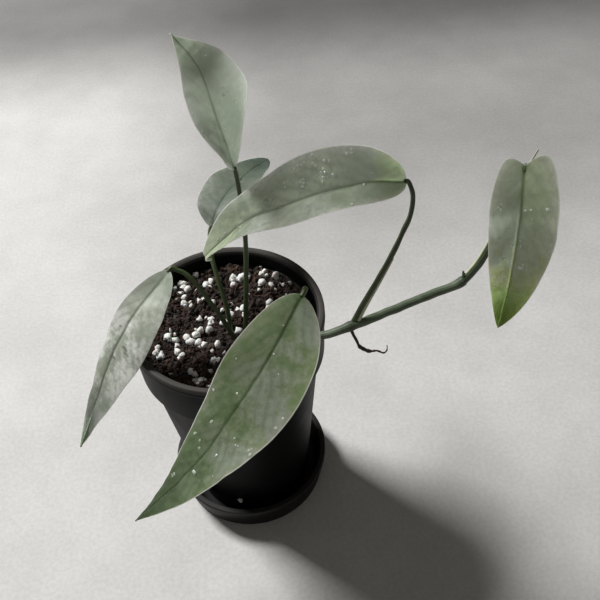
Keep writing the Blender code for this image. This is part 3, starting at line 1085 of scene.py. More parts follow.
@dataclass
class Blade:
    """One leaf blade, bent to its own midrib, with its veins pressed into both faces."""

    name: str
    midrib: list[Point]
    face: Point
    twist: tuple[float, float]
    fold: float
    half_width: float
    lean: float
    outline: tuple[float, float]
    lobes: float
    wave: tuple[float, float, float, float]
    tone: LeafTone
    vein_step: float = 7.5
    vein_angle: float = 42.0
    wetness: float = 0.0
    seed: int = 1
    back_seat: bool = False
    curl_start: float = 1.0
    spots: tuple[tuple[float, float], ...] = ()
    scars: tuple[tuple[float, float], ...] = ()
    rows: int = 220
    columns: int = 88
    thickness: float = 0.62 * MM
    curl_radius: float = 2.1 * MM

    lobe_reach = 0.15
    end_half_width = 0.35 * MM
    fold_softness = 0.006
    edge_crowding = 0.92
    row_easing = 0.55
    margin_thinning = 0.62
    rib_width = 0.85 * MM
    rib_narrowing = 0.6
    rib_depth = 0.42 * MM
    ridge_height = 0.55 * MM
    ridge_fading = 0.7
    vein_bend = 0.35
    side_shift = 0.43
    vein_drift = 0.12
    drift_rate = 0.31
    groove_width = 1.7
    quilt_length = 16 * MM
    quilt_height = 0.22 * MM
    ripple_length = 5 * MM
    ripple_height = 0.05 * MM
    pillow_height = 0.03 * MM
    scar_length = 1.0 * MM
    scar_width = 1.7 * MM

    def __post_init__(self) -> None:
        """Keeps the midrib as an array in metres, with its length."""
        self.path = np.array(self.midrib, float) * MM
        line = np.array([spline_point(self.path, i / 100) for i in range(101)])
        self.length = float(np.linalg.norm(np.diff(line, axis=0), axis=1).sum())

    def seat(self, reach: float) -> list[np.ndarray]:
        """The last points of a petiole that runs on into this blade's midrib."""
        along = unit(spline_point(self.path, 0.02) - self.path[0])
        if self.back_seat:
            _, _, _, up = self.frame(0.0)
            return [self.path[0] - up * 1.2 * MM, self.path[0] - up * 0.5 * MM + along * 3 * MM]
        return [self.path[0] - along * reach, self.path[0] + along * 1.2 * MM]

    def frame(self, share: float) -> tuple[np.ndarray, np.ndarray, np.ndarray, np.ndarray]:
        """The midrib's place and directions.

        Args:
            share: The share of the blade's length. Past the start of the curl it rolls down.

        Returns:
            The midrib's point, and the directions along it, outwards to the right and up.
        """
        if share > self.curl_start:
            here, along, out, up = self.frame(self.curl_start)
            angle = (share - self.curl_start) * self.length / self.curl_radius
            ahead, down = math.sin(angle), 1 - math.cos(angle)
            turned_along = along * math.cos(angle) - up * math.sin(angle)
            here = here + (along * ahead - up * down) * self.curl_radius
            return here, turned_along, out, np.cross(out, turned_along)
        step = 1e-3
        here = spline_point(self.path, share)
        ahead = spline_point(self.path, min(share + step, 1.0))
        behind = spline_point(self.path, max(share - step, 0.0))
        along = unit(ahead - behind)
        face = np.array(self.face, float)
        up = unit(face - along.dot(face) * along)
        out = np.cross(along, up)
        twist = math.radians(self.twist[0] + (self.twist[1] - self.twist[0]) * share)
        sine, cosine = math.sin(twist), math.cos(twist)
        return here, along, out * cosine + up * sine, up * cosine - out * sine

    def width_at(self, share: float, side: int) -> float:
        """The half width on this side, -1 left or 1 right."""
        rise, fall = self.outline
        peak = rise / (rise + fall)
        t = min(max(share, 1e-6), 1 - 1e-6)
        form = (t / peak) ** rise * ((1 - t) / (1 - peak)) ** fall
        return max(self.half_width * MM * (1 - side * self.lean) * form, self.end_half_width)

    def lines(
        self, share: np.ndarray, across: np.ndarray, lateral: np.ndarray
    ) -> tuple[np.ndarray, np.ndarray]:
        """How strongly the midrib shows, from 0 to 1, and the side veins' phase, whole at a vein.

        Args:
            share: The share of the length.
            across: The place across, -1 to 1.
            lateral: The distance from the midrib, in metres.

        Returns:
            The midrib's strength and the side veins' phase.
        """
        rib = bell(lateral, (1.0 - self.rib_narrowing * share) * self.rib_width)
        run = share * self.length / MM
        slope = 1 / math.tan(math.radians(self.vein_angle))
        bend = self.vein_bend * np.abs(across) ** 2 * self.half_width
        phase = (run - np.abs(lateral) / MM * slope - bend) / self.vein_step
        drift = self.vein_drift * np.sin(run * self.drift_rate + self.seed)
        phase = phase + np.where(across > 0, self.side_shift, 0.0) + drift
        return rib, phase

    def vein_groove(self, share: np.ndarray, across: np.ndarray, phase: np.ndarray) -> np.ndarray:
        """How deep the side veins' soft grooves are.

        Args:
            share: The share of the length.
            across: The place across, -1 to 1.
            phase: The side veins' phase.

        Returns:
            The depth at each place, from 0 to 1.
        """
        near = np.abs(phase - np.round(phase)) * self.vein_step
        inside = 1 - smooth(0.7, 0.97, np.abs(across))
        return bell(near, self.groove_width) * inside * smooth(0.0, 0.03, share)

    def relief(
        self, share: np.ndarray, across: np.ndarray, rib: np.ndarray, vein: np.ndarray, middle: np.ndarray
    ) -> np.ndarray:
        """The blade's own relief.

        Args:
            share: The share of the length.
            across: The place across, -1 to 1.
            rib: The midrib's strength.
            vein: The depth of the side veins' grooves, from 0 to 1.
            middle: The places on the blade's middle sheet.

        Returns:
            Its height at each place, in metres.
        """
        quilting = Waves(self.seed, self.quilt_length, 16).at(middle) * self.quilt_height
        fine = Waves(self.seed + 5, self.ripple_length, 16).at(middle) * self.ripple_height
        ease = smooth(0.0, 0.08, share) * (1 - smooth(0.93, 1.0, share))
        pillow = (1 - vein) * self.pillow_height * (1 - smooth(0.8, 1.0, np.abs(across)))
        return (quilting + fine + pillow - rib * self.rib_depth) * ease

    def row(self, share: float, places: np.ndarray) -> tuple[np.ndarray, np.ndarray, np.ndarray]:
        """One row of the middle sheet, from the left margin to the right one.

        Args:
            share: The share of the length.
            places: The places across, -1 to 1.

        Returns:
            The row's points, the direction up at each, and the distances from the midrib.
        """
        height, waves, left_phase, right_phase = self.wave
        fold = math.radians(self.fold)
        here, along, out, up = self.frame(share)
        widths = np.where(places > 0, self.width_at(share, 1), self.width_at(share, -1))
        phase = np.where(places > 0, right_phase, left_phase)
        ripple = height * MM * math.sqrt(max(math.sin(math.pi * share), 0)) * places**2
        ripple = ripple * np.sin(2 * math.pi * (waves * share + phase))
        fading = math.exp(-((share / self.lobe_reach) ** 2))
        back = self.lobes * MM * places**2 * widths / (self.half_width * MM) * fading
        soft = np.sqrt(places**2 + self.fold_softness) - math.sqrt(self.fold_softness)
        row = here + np.outer(places * widths * math.cos(fold), out) - np.outer(back, along)
        row = row + np.outer(soft * widths * math.sin(fold) + ripple, up)
        return row, np.tile(up, (len(places), 1)), places * widths

    def build(self) -> bpy.types.Object:
        """Bends the blade and dresses it."""
        even = np.linspace(0, 1, self.rows)
        shares = self.row_easing * (0.5 * (1 - np.cos(math.pi * even))) + (1 - self.row_easing) * even
        spread = np.linspace(-1, 1, self.columns + 1)
        quarter = math.pi / 2
        places = np.sin(quarter * spread * self.edge_crowding) / math.sin(quarter * self.edge_crowding)
        rows = [self.row(share, places) for share in shares]
        middle, ups, lateral = (np.array(part) for part in zip(*rows))
        normal = np.cross(np.gradient(middle, axis=1), np.gradient(middle, axis=0))
        normal /= np.linalg.norm(normal, axis=2)[:, :, None]
        if (normal * ups).sum() < 0:
            normal = -normal
        share = np.repeat(shares[:, None], len(places), 1)
        across = np.tile(places, (self.rows, 1))
        rib, phase = self.lines(share, across, lateral)
        rise = self.relief(share, across, rib, self.vein_groove(share, across, phase), middle)
        slim = self.thickness / 2 * (1 - self.margin_thinning * np.abs(across) ** 4)
        ridge = rib * self.ridge_height * (1 - self.ridge_fading * share) * smooth(0, 0.03, share)
        top = middle + normal * (rise + slim)[:, :, None]
        under = middle + normal * (rise - slim - ridge)[:, :, None]
        stored = {"along": share, "across": across, "rib": rib, "vein_phase": phase}
        return self.close(top, under, stored)

    def close(
        self, top: np.ndarray, under: np.ndarray, stored: dict[str, np.ndarray]
    ) -> bpy.types.Object:
        """Joins the two faces along the margin and stores what the finish reads.

        Args:
            top: The upper face's points.
            under: The under face's points.
            stored: What each point holds, by name.

        Returns:
            The piece.
        """
        rows, columns = top.shape[:2]
        count = rows * columns
        faces = grid_faces(rows, columns, False, flip=True)
        faces += grid_faces(rows, columns, False, start=count)
        border = list(range(columns))
        border += [i * columns + columns - 1 for i in range(1, rows)]
        border += [(rows - 1) * columns + j for j in range(columns - 2, -1, -1)]
        border += [i * columns for i in range(rows - 2, 0, -1)]
        for a, b in zip(border, border[1:] + border[:1]):
            faces.append((a, b, b + count, a + count))
        vertices = np.vstack([top.reshape(-1, 3), under.reshape(-1, 3)])
        finish = LeafFinish(f"{self.name}_finish", self.tone)
        made = mesh_object(f"{self.name}_blade", vertices, faces, finish.material())
        self.face_outwards(made)
        for name, values in stored.items():
            add_attribute(made, name, np.tile(values.ravel(), 2))
        add_attribute(made, "underside", np.repeat([0.0, 1.0], count))
        scars = self.scarred(stored["along"], stored["across"])
        add_attribute(made, "scar", np.tile(scars.ravel(), 2))
        return publish(made, Slot.LEAF, self.name)

    def scarred(self, share: np.ndarray, across: np.ndarray) -> np.ndarray:
        """How strongly a small old scar shows at each place, from 0 to 1.

        Args:
            share: The share of the length.
            across: The place across, -1 to 1.

        Returns:
            The scars' strength.
        """
        found = np.zeros_like(share)
        for along, aside in self.scars:
            run = (share - along) * self.length
            out = (across - aside) * self.half_width * MM
            found += np.exp(-((run / self.scar_length) ** 2) - (out / self.scar_width) ** 2)
        return np.clip(found, 0, 1)

    @staticmethod
    def face_outwards(made: bpy.types.Object) -> None:
        """Turns the mesh's faces outwards where its volume comes out negative."""
        mesh = made.data
        mesh.calc_loop_triangles()
        corners = np.array([[mesh.vertices[i].co[:] for i in t.vertices] for t in mesh.loop_triangles])
        if np.linalg.det(corners).sum() < 0:
            mesh.flip_normals()


# What repeats


class ScatterTree:
    """A Geometry Nodes tree that scatters uneven grains over a surface."""

    inputs = (
        ("Density", "NodeSocketFloat", 1000.0),
        ("Radius", "NodeSocketFloat", 0.001),
        ("Spread", "NodeSocketFloat", 0.3),
        ("Roughness", "NodeSocketFloat", 0.2),
        ("Lift", "NodeSocketFloat", 0.0),
        ("Flatness", "NodeSocketFloat", 1.0),
        ("Seed", "NodeSocketInt", 1),
    )
    noise_scale = 620.0
    noise_detail = 2.0
    push_gain = 4.0
    round_from = 0.99

    def __init__(self, name: str, material: bpy.types.Material, stretch: Point, subdivisions: int = 2) -> None:
        """Builds the tree.

        Args:
            name: The tree's name.
            material: The grains' finish.
            stretch: How much longer a grain may be along each of its axes.
            subdivisions: How finely a grain is cut.
        """
        self.tree = bpy.data.node_groups.new(name, "GeometryNodeTree")
        self.link = self.tree.links.new
        face = self.tree.interface
        face.new_socket("Geometry", in_out="INPUT", socket_type="NodeSocketGeometry")
        face.new_socket("Geometry", in_out="OUTPUT", socket_type="NodeSocketGeometry")
        self.sockets = {}
        for label, kind, value in self.inputs:
            socket = face.new_socket(label, in_out="INPUT", socket_type=kind)
            socket.default_value = value
            self.sockets[label] = socket.identifier
        self.given = self.add("NodeGroupInput").outputs
        self.wire(material, stretch, subdivisions)

    def add(self, kind: str, **settings: object) -> bpy.types.Node:
        """A new node of this kind with its properties set."""
        made = self.tree.nodes.new(kind)
        for key, value in settings.items():
            setattr(made, key, value)
        return made

    def join(self, node: bpy.types.Node, **sources: Socket | float) -> bpy.types.Node:
        """Feeds a node's inputs by name, each from a socket or a plain value."""
        for name, source in sources.items():
            self.feed(source, node.inputs[name.replace("_", " ")])
        return node

    def feed(self, source: Socket | float | Point, target: Socket) -> None:
        """Feeds one input from a socket, or sets it to a plain value."""
        if isinstance(source, Socket):
            self.link(source, target)
        else:
            target.default_value = source

    def maths(self, operation: str, a: Socket | float, b: Socket | float) -> Socket:
        """One sum of two values."""
        made = self.add("ShaderNodeMath", operation=operation)
        self.feed(a, made.inputs[0])
        self.feed(b, made.inputs[1])
        return made.outputs[0]

    def vector(self, operation: str, a: Socket, b: Socket | float | Point) -> Socket:
        """One sum of two vectors, or the first one scaled by the second value."""
        made = self.add("ShaderNodeVectorMath", operation=operation)
        self.feed(a, made.inputs[0])
        self.feed(b, made.inputs["Scale"] if operation == "SCALE" else made.inputs[1])
        return made.outputs[0]

    def along_z(self, x: float, y: float, z: Socket) -> Socket:
        """A vector whose height comes from a socket."""
        made = self.add("ShaderNodeCombineXYZ")
        for source, target in zip((x, y, z), made.inputs):
            self.feed(source, target)
        return made.outputs[0]

    def random_vector(self, low: Point, high: Point, seed_step: float) -> Socket:
        """A random vector for each grain, drawn apart from the others by its own step of the seed."""
        made = self.add("FunctionNodeRandomValue", data_type="FLOAT_VECTOR")
        made.inputs[0].default_value = low
        made.inputs[1].default_value = high
        self.join(made, Seed=self.maths("ADD", self.given["Seed"], seed_step))
        return made.outputs[0]

    def scattered(self) -> bpy.types.Node:
        """The points on the surface, as thick as its stored density says."""
        density = self.add("GeometryNodeInputNamedAttribute", data_type="FLOAT")
        density.inputs["Name"].default_value = "density"
        points = self.add("GeometryNodeDistributePointsOnFaces", distribute_method="RANDOM")
        thick = self.maths("MULTIPLY", self.given["Density"], density.outputs["Attribute"])
        return self.join(points, Mesh=self.given["Geometry"], Density=thick, Seed=self.given["Seed"])

    def grain_scale(self, stretch: Point) -> Socket:
        """Each grain's own size and form.

        Args:
            stretch: How much longer a grain may be along each of its axes.

        Returns:
            The scale's socket.
        """
        size = self.add("FunctionNodeRandomValue", data_type="FLOAT")
        self.feed(self.maths("SUBTRACT", 1.0, self.given["Spread"]), size.inputs[2])
        self.feed(self.maths("ADD", 1.0, self.given["Spread"]), size.inputs[3])
        self.join(size, Seed=self.given["Seed"])
        form = self.random_vector((1.0, 1.0, 1.0), stretch, 1.0)
        scaled = self.vector("SCALE", form, size.outputs[1])
        return self.vector("MULTIPLY", scaled, self.along_z(1.0, 1.0, self.given["Flatness"]))

    def grain_turn(self, upright: Socket) -> Socket:
        """Each grain's own turn: a flat one stays flat on the surface, a round one tumbles.

        Args:
            upright: The turn that stands a grain on the surface.

        Returns:
            The turn's socket.
        """
        full = 2 * math.pi
        spun = self.random_vector((0.0, 0.0, 0.0), (0.0, 0.0, full), 2.0)
        tumbled = self.random_vector((0.0, 0.0, 0.0), (full, full, full), 3.0)
        pick = self.add("GeometryNodeSwitch", input_type="VECTOR")
        is_round = self.maths("GREATER_THAN", self.given["Flatness"], self.round_from)
        self.feed(is_round, pick.inputs["Switch"])
        self.feed(spun, pick.inputs["False"])
        self.feed(tumbled, pick.inputs["True"])
        rotation = self.add("FunctionNodeEulerToRotation")
        self.feed(pick.outputs[0], rotation.inputs[0])
        turned_by = self.add("FunctionNodeRotateRotation", rotation_space="LOCAL")
        self.feed(upright, turned_by.inputs[0])
        self.feed(rotation.outputs[0], turned_by.inputs[1])
        return turned_by.outputs[0]

    def roughened(self, mesh: Socket) -> Socket:
        """The grains with their surface pushed in and out by noise.

        Args:
            mesh: The plain grains.

        Returns:
            The rough grains.
        """
        noise = self.add("ShaderNodeTexNoise")
        place = self.add("GeometryNodeInputPosition").outputs[0]
        self.join(noise, Vector=place, Scale=self.noise_scale, Detail=self.noise_detail)
        middle = self.vector("SUBTRACT", noise.outputs["Color"], (0.5, 0.5, 0.5))
        reach = self.maths("MULTIPLY", self.given["Roughness"], self.given["Radius"])
        push = self.vector("SCALE", middle, self.maths("MULTIPLY", reach, self.push_gain))
        rough = self.join(self.add("GeometryNodeSetPosition"), Geometry=mesh, Offset=push)
        return rough.outputs[0]

    def wire(self, material: bpy.types.Material, stretch: Point, subdivisions: int) -> None:
        """Joins the nodes from the scattered points to the finished grains.

        Args:
            material: The grains' finish.
            stretch: How much longer a grain may be along each of its axes.
            subdivisions: How finely a grain is cut.
        """
        points = self.scattered()
        grain = self.add("GeometryNodeMeshIcoSphere")
        grain.inputs["Subdivisions"].default_value = subdivisions
        self.join(grain, Radius=self.given["Radius"])
        placed = self.add("GeometryNodeInstanceOnPoints")
        self.join(placed, Points=points.outputs["Points"], Instance=grain.outputs["Mesh"])
        self.join(placed, Rotation=self.grain_turn(points.outputs["Rotation"]))
        self.join(placed, Scale=self.grain_scale(stretch))
        raised = self.add("GeometryNodeTranslateInstances")
        self.feed(placed.outputs[0], raised.inputs[0])
        self.join(raised, Translation=self.along_z(0.0, 0.0, self.given["Lift"]), Local_Space=False)
        real = self.add("GeometryNodeRealizeInstances")
        self.feed(raised.outputs[0], real.inputs[0])
        finished = self.add("GeometryNodeSetMaterial")
        finished.inputs["Material"].default_value = material
        self.join(finished, Geometry=self.roughened(real.outputs[0]))
        self.feed(finished.outputs[0], self.add("NodeGroupOutput").inputs[0])

    def scatter(
        self, name: str, surface: bpy.types.Object, smooth_faces: bool, **values: float
    ) -> bpy.types.Object:
        """Runs the tree on a copy of the surface and keeps the grains as a plain mesh.

        Args:
            name: The grains' name.
            surface: The surface, with its "density" stored for each vertex.
            smooth_faces: Whether the grains are shaded smooth.
            values: The tree's inputs by name.

        Returns:
            The grains.
        """
        base = linked(f"{name}_ground", surface.data.copy())
        modifier = base.modifiers.new("scatter", "NODES")
        modifier.node_group = self.tree
        for label, value in values.items():
            modifier[self.sockets[label]] = value
        bpy.context.view_layer.update()
        graph = bpy.context.evaluated_depsgraph_get()
        mesh = bpy.data.meshes.new_from_object(base.evaluated_get(graph))
        made = linked(name, mesh)
        mesh.name = name
        if smooth_faces:
            mesh.shade_smooth()
        else:
            mesh.shade_flat()
        bpy.data.objects.remove(base)
        return made


# Potting mix


@dataclass(frozen=True)
class Grains:
    """One kind of scattered grain: its inputs to the scatter tree."""

    density: float
    radius: float
    roughness: float
    lift: float
    spread: float = 0.5
    flatness: float = 1.0

    def values(self, seed: int) -> dict[str, float]:
        """The tree's inputs by name, with this seed.

        Args:
            seed: The seed of the scatter.

        Returns:
            Each input's value.
        """
        return {
            "Density": self.density,
            "Radius": self.radius,
            "Spread": self.spread,
            "Roughness": self.roughness,
            "Lift": self.lift,
            "Flatness": self.flatness,
            "Seed": seed,
        }


@dataclass
class PottingMix:
    """The soil with its crumbs, fibres and perlite."""

    pot: Pot
    stems: list[tuple[float, float]]
    level: float = 130.0 * MM
    gap: float = 0.3 * MM
    rings: int = 90
    steps: int = 220
    clusters: tuple[tuple[float, float, int], ...] = (
        (-22, 17, 9), (-13, 19, 6), (-31, -5, 12), (-19, -5, 10), (-25, -15, 6), (-8, 3, 7), (-10, -13, 6),
        (-3, -15, 5), (-7, -25, 6), (-8, 32, 7), (-26, 32, 6), (7, 33, 8), (15, 38, 6), (20, 26, 4),
        (32, 30, 8), (3, 11, 5), (-14, -34, 6), (-18, 41, 4), (-34, -14, 5), (26, 35, 3),
    )
    cluster_width: float = 3.5 * MM
    full_cluster: int = 9
    between_clusters: float = 0.05
    lumps: tuple[tuple[int, float, int, float], ...] = (
        (3, 6 * MM, 20, 0.5), (4, 2.4 * MM, 24, 0.42), (5, 1.2 * MM, 24, 0.25),
    )
    swell: float = 0.54 * MM
    rim_drop: float = 2.5 * MM
    stem_clearance: tuple[float, float] = (2.2 * MM, 3.4 * MM)
    edge_clearance: tuple[float, float] = (0.94, 0.965)
    white: Grains = Grains(150000.0, 1.3 * MM, 0.62, 0.6 * MM)
    bark: Grains = Grains(150000.0, 0.95 * MM, 0.5, 0.25 * MM)
    fines: Grains = Grains(500000.0, 0.42 * MM, 0.5, 0.2 * MM)
    stray: Point = (-7.3, -34.9, 18.2)
    stray_radius: float = 1.25 * MM
    seed: int = 11

    def height(self, x: np.ndarray, y: np.ndarray) -> np.ndarray:
        """The surface's height, gently uneven."""
        waves = np.sin(x * 210 + 1.3) * np.cos(y * 170) + 0.6 * np.sin(x * 390 - y * 310)
        return self.level + self.swell * waves

    def top_surface(self, radius: float) -> np.ndarray:
        """The rings of the rough top, out to this radius.

        Args:
            radius: The top's radius, in metres.

        Returns:
            The points, ring by ring.
        """
        radii = radius * np.sqrt(np.linspace(0.0004, 1, self.rings))
        angles = np.arange(self.steps) * 2 * math.pi / self.steps
        x, y = np.outer(radii, np.cos(angles)), np.outer(radii, np.sin(angles))
        flat = np.stack([x, y, np.zeros_like(x)], axis=2)
        lumps = sum(Waves(seed, size, count).at(flat) * share for seed, size, count, share in self.lumps)
        ease = 1 - smooth(0.985, 1.0, radii / radius)[:, None]
        z = self.height(x, y) + lumps * MM * ease
        return np.stack([x, y, z], axis=2)

    def build(self) -> list[bpy.types.Object]:
        """Builds the mix and what lies on it."""
        top = self.top_surface(self.pot.inner_radius(self.level) - self.gap)
        pieces = [self.filling(top)]
        ground = self.ground(top)
        pieces.append(self.perlite(ground))
        pieces.extend(self.crumbs(ground))
        pieces.append(self.fibres())
        pieces.append(self.stray_grain())
        bpy.data.objects.remove(ground)
        return pieces

    def filling(self, top: np.ndarray) -> bpy.types.Object:
        """The closed body of the mix.

        Args:
            top: The rings of its rough top.

        Returns:
            The piece.
        """
        bottom = self.pot.floor + self.gap
        foot_radius = self.pot.inner_radius(bottom) - self.gap
        angles = np.arange(self.steps) * 2 * math.pi / self.steps
        ring = [np.cos(angles) * foot_radius, np.sin(angles) * foot_radius, np.full(self.steps, bottom)]
        shoulder = top[-1] * [1, 1, 0] + [0, 0, self.level - self.rim_drop]
        middles = [[0, 0, top[0, 0, 2]], [0, 0, bottom]]
        rows = np.vstack([top.reshape(-1, 3), shoulder, np.stack(ring, axis=1), middles])
        faces = grid_faces(self.rings + 2, self.steps, True, flip=True)
        first, last_row = len(rows) - 2, (self.rings + 1) * self.steps
        for j in range(self.steps):
            k = (j + 1) % self.steps
            faces.append((first, j, k))
            faces.append((first + 1, last_row + k, last_row + j))
        return publish(mesh_object("soil_body", rows, faces, SoilFinish().material()), Slot.SOIL, "soil")

    def ground(self, top: np.ndarray) -> bpy.types.Object:
        """The bare top surface that grains are scattered on.

        Args:
            top: The rings of the rough top.

        Returns:
            The surface, which is taken away at the end.
        """
        rings, steps = top.shape[:2]
        faces = grid_faces(rings, steps, True)
        made = mesh_object("soil_ground", top.reshape(-1, 3), faces, bpy.data.materials["potting_mix"])
        if made.data.polygons[0].normal.z < 0:
            made.data.flip_normals()
        return made

    def clear_of_stems(self, flat: np.ndarray) -> np.ndarray:
        """1 away from the stems and 0 at them."""
        clear = np.ones(len(flat))
        for x, y in self.stems:
            clear *= smooth(*self.stem_clearance, np.hypot(flat[:, 0] - x * MM, flat[:, 1] - y * MM))
        return clear

    def density(self, ground: bpy.types.Object, values: Callable[[np.ndarray], np.ndarray]) -> None:
        """Stores how thickly each part of the ground is strewn.

        Args:
            ground: The surface.
            values: The thickness at each of these points, before the stems and the edge are cleared.
        """
        points = np.array([v.co[:] for v in ground.data.vertices])
        old = ground.data.attributes.get("density")
        if old:
            ground.data.attributes.remove(old)
        out = np.hypot(points[:, 0], points[:, 1]) / self.pot.inner_radius(self.level)
        edge = 1 - smooth(*self.edge_clearance, out)
        add_attribute(ground, "density", values(points) * self.clear_of_stems(points) * edge)

    def clustered(self, points: np.ndarray) -> np.ndarray:
        """How thick the perlite lies at each of these points."""
        found = np.full(len(points), self.between_clusters)
        for x, y, count in self.clusters:
            away = np.hypot(points[:, 0] - x * MM, points[:, 1] - y * MM)
            found += count / self.full_cluster * bell(away, self.cluster_width)
        return found

    def perlite(self, ground: bpy.types.Object) -> bpy.types.Object:
        """The white grains, thickest in their clusters.

        Args:
            ground: The surface that they lie on.

        Returns:
            The piece.
        """
        self.density(ground, self.clustered)
        tree = ScatterTree("perlite_scatter", PerliteFinish().material(), (1.45, 1.3, 1.1))
        made = tree.scatter("perlite_grains", ground, True, **self.white.values(self.seed))
        return publish(made, Slot.SOIL)

    def crumbs(self, ground: bpy.types.Object) -> list[bpy.types.Object]:
        """Dark bark crumbs of two sizes.

        Args:
            ground: The surface that they lie on.

        Returns:
            The coarse crumbs and the fine ones.
        """
        self.density(ground, lambda points: np.ones(len(points)))
        dark = CrumbFinish("bark_crumbs", (0.008, 0.0055, 0.0045), (0.045, 0.025, 0.017))
        tree = ScatterTree("crumb_scatter", dark.material(), (1.9, 1.4, 1.0), 1)
        coarse = tree.scatter("bark_crumbs", ground, False, **self.bark.values(self.seed + 7))
        fine = tree.scatter("fine_crumbs", ground, False, **self.fines.values(self.seed + 8))
        return [publish(coarse, Slot.SOIL), publish(fine, Slot.SOIL)]

    def stray_grain(self) -> bpy.types.Object:
        """The one perlite grain that clings to the pot's damp foot."""
        radius, place = self.stray_radius, np.array(self.stray) * MM
        profile = [(radius * math.sin(t), 0.85 * radius * math.cos(t)) for t in np.linspace(0, math.pi, 9)]
        made = turned("stray_grain", profile, bpy.data.materials["perlite"], 12)
        rough = Waves(self.seed, 2.4 * MM, 10)
        for vertex in made.data.vertices:
            point = np.array(vertex.co)
            vertex.co = point * (1 + 0.2 * rough.at(point)) + place
        return publish(made, Slot.SOIL)

    def fibres(self) -> bpy.types.Object:
        """Short reddish coir fibres lying on the mix."""
        count, rows = 240, 7
        draw = np.random.default_rng(self.seed + 20)
        reach = self.pot.inner_radius(self.level) - 4 * MM
        vertices, faces = [], []
        for _ in range(count):
            base = len(vertices)
            vertices += self.fibre(draw, reach, rows)
            faces += grid_faces(rows, 3, True, start=base)
            end = base + rows * 3
            faces += [(base + 2, base + 1, base), (end - 3, end - 2, end - 1)]
        coir = CrumbFinish("coir_fibres", (0.05, 0.022, 0.014), (0.13, 0.06, 0.04))
        made = mesh_object("coir_fibres", np.array(vertices), faces, coir.material())
        return publish(made, Slot.SOIL)

    def fibre(self, draw: np.random.Generator, reach: float, rows: int) -> list[np.ndarray]:
        """One bent fibre with three sides.

        Args:
            draw: The seeded draw of its place and form.
            reach: How far from the axis its middle may lie.
            rows: The number of rows along it.

        Returns:
            Its vertices, three to a row.
        """
        angle, out = draw.uniform(0, 2 * math.pi), reach * math.sqrt(draw.uniform())
        start = np.array([out * math.cos(angle), out * math.sin(angle)])
        heading, bend = draw.uniform(0, 2 * math.pi), draw.uniform(-60, 60)
        length, radius = draw.uniform(3, 9) * MM, draw.uniform(0.09, 0.2) * MM
        furthest = reach + 2.5 * MM
        above = np.array([0, 0, 1])
        vertices = []
        for i in range(rows):
            t = i / (rows - 1)
            turn = heading + math.radians(bend) * t
            spot = start + np.array([math.cos(turn), math.sin(turn)]) * length * (t - 0.5)
            if np.hypot(*spot) > furthest:
                spot = unit(spot) * furthest
            z = float(self.height(spot[0], spot[1])) + 1.0 * MM + 0.5 * MM * math.sin(math.pi * t)
            across = np.array([-math.sin(turn), math.cos(turn), 0])
            for k in range(3):
                a = 2 * math.pi * k / 3
                side = across * math.cos(a) + above * math.sin(a)
                vertices.append(np.array([*spot, z]) + radius * side)
        return vertices


# Water


@dataclass
class WaterBeads:
    """Beads of water standing on the upper side of the wet blades."""

    blades: list[Blade]
    objects: dict[str, bpy.types.Object]
    beads: Grains = Grains(240000.0, 0.52 * MM, 0.03, 0.2 * MM, flatness=0.55)
    stretch: Point = (1.25, 1.15, 1.0)
    spot_width: float = 1.5 * MM
    damp: float = 0.012
    seed: int = 5

    def build(self) -> list[bpy.types.Object]:
        """Scatters the beads over each wet blade."""
        tree = ScatterTree("bead_scatter", WaterFinish().material(), self.stretch, 3)
        wet = [blade for blade in self.blades if blade.wetness]
        return [publish(self.on_blade(blade, tree), Slot.LEAF) for blade in wet]

    def wetness(self, blade: Blade, mesh: bpy.types.Mesh) -> np.ndarray:
        """How thickly the beads stand at each vertex.

        Args:
            blade: The blade.
            mesh: Its mesh, with the places along and across stored on it.

        Returns:
            The thickness: most at the blade's spots, none underneath and at the ends.
        """
        read = {}
        for label in ("along", "across", "underside"):
            read[label] = np.zeros(len(mesh.vertices), np.float32)
            mesh.attributes[label].data.foreach_get("value", read[label])
        wet = np.full(len(mesh.vertices), self.damp)
        for along, across in blade.spots:
            run = (read["along"] - along) * blade.length
            out = (read["across"] - across) * blade.half_width * MM
            wet += bell(np.hypot(run, out), self.spot_width)
        wet = wet * (1 - read["underside"]) * smooth(0.04, 0.08, read["along"])
        wet = wet * (1 - smooth(0.9, 0.95, read["along"]))
        return wet * (1 - smooth(0.9, 0.97, np.abs(read["across"])))

    def on_blade(self, blade: Blade, tree: ScatterTree) -> bpy.types.Object:
        """The beads of one blade.

        Args:
            blade: The blade.
            tree: The tree that scatters them.

        Returns:
            The beads.
        """
        ground = linked("bead_ground", self.objects[blade.name].data.copy())
        add_attribute(ground, "density", self.wetness(blade, ground.data))
        values = self.beads.values(self.seed + blade.seed)
        values["Density"] = blade.wetness * self.beads.density
        made = tree.scatter(f"{blade.name}_beads", ground, True, **values)
        bpy.data.objects.remove(ground)
        return made


# Stage


@dataclass(frozen=True)
class AreaLight:
    """A square soft light: where it hangs, what it faces, its side in metres, its watts."""

    name: str
    place: Point
    aim: Point
    size: float
    power: float

    def build(self) -> None:
        """Hangs the light."""
        lamp = bpy.data.lights.new(self.name, "AREA")
        lamp.size = self.size
        lamp.energy = self.power
        made = linked(self.name, lamp)
        made.location = self.place
        facing = Vector(self.aim) - Vector(self.place)
        made.rotation_euler = facing.to_track_quat("-Z", "Y").to_euler()


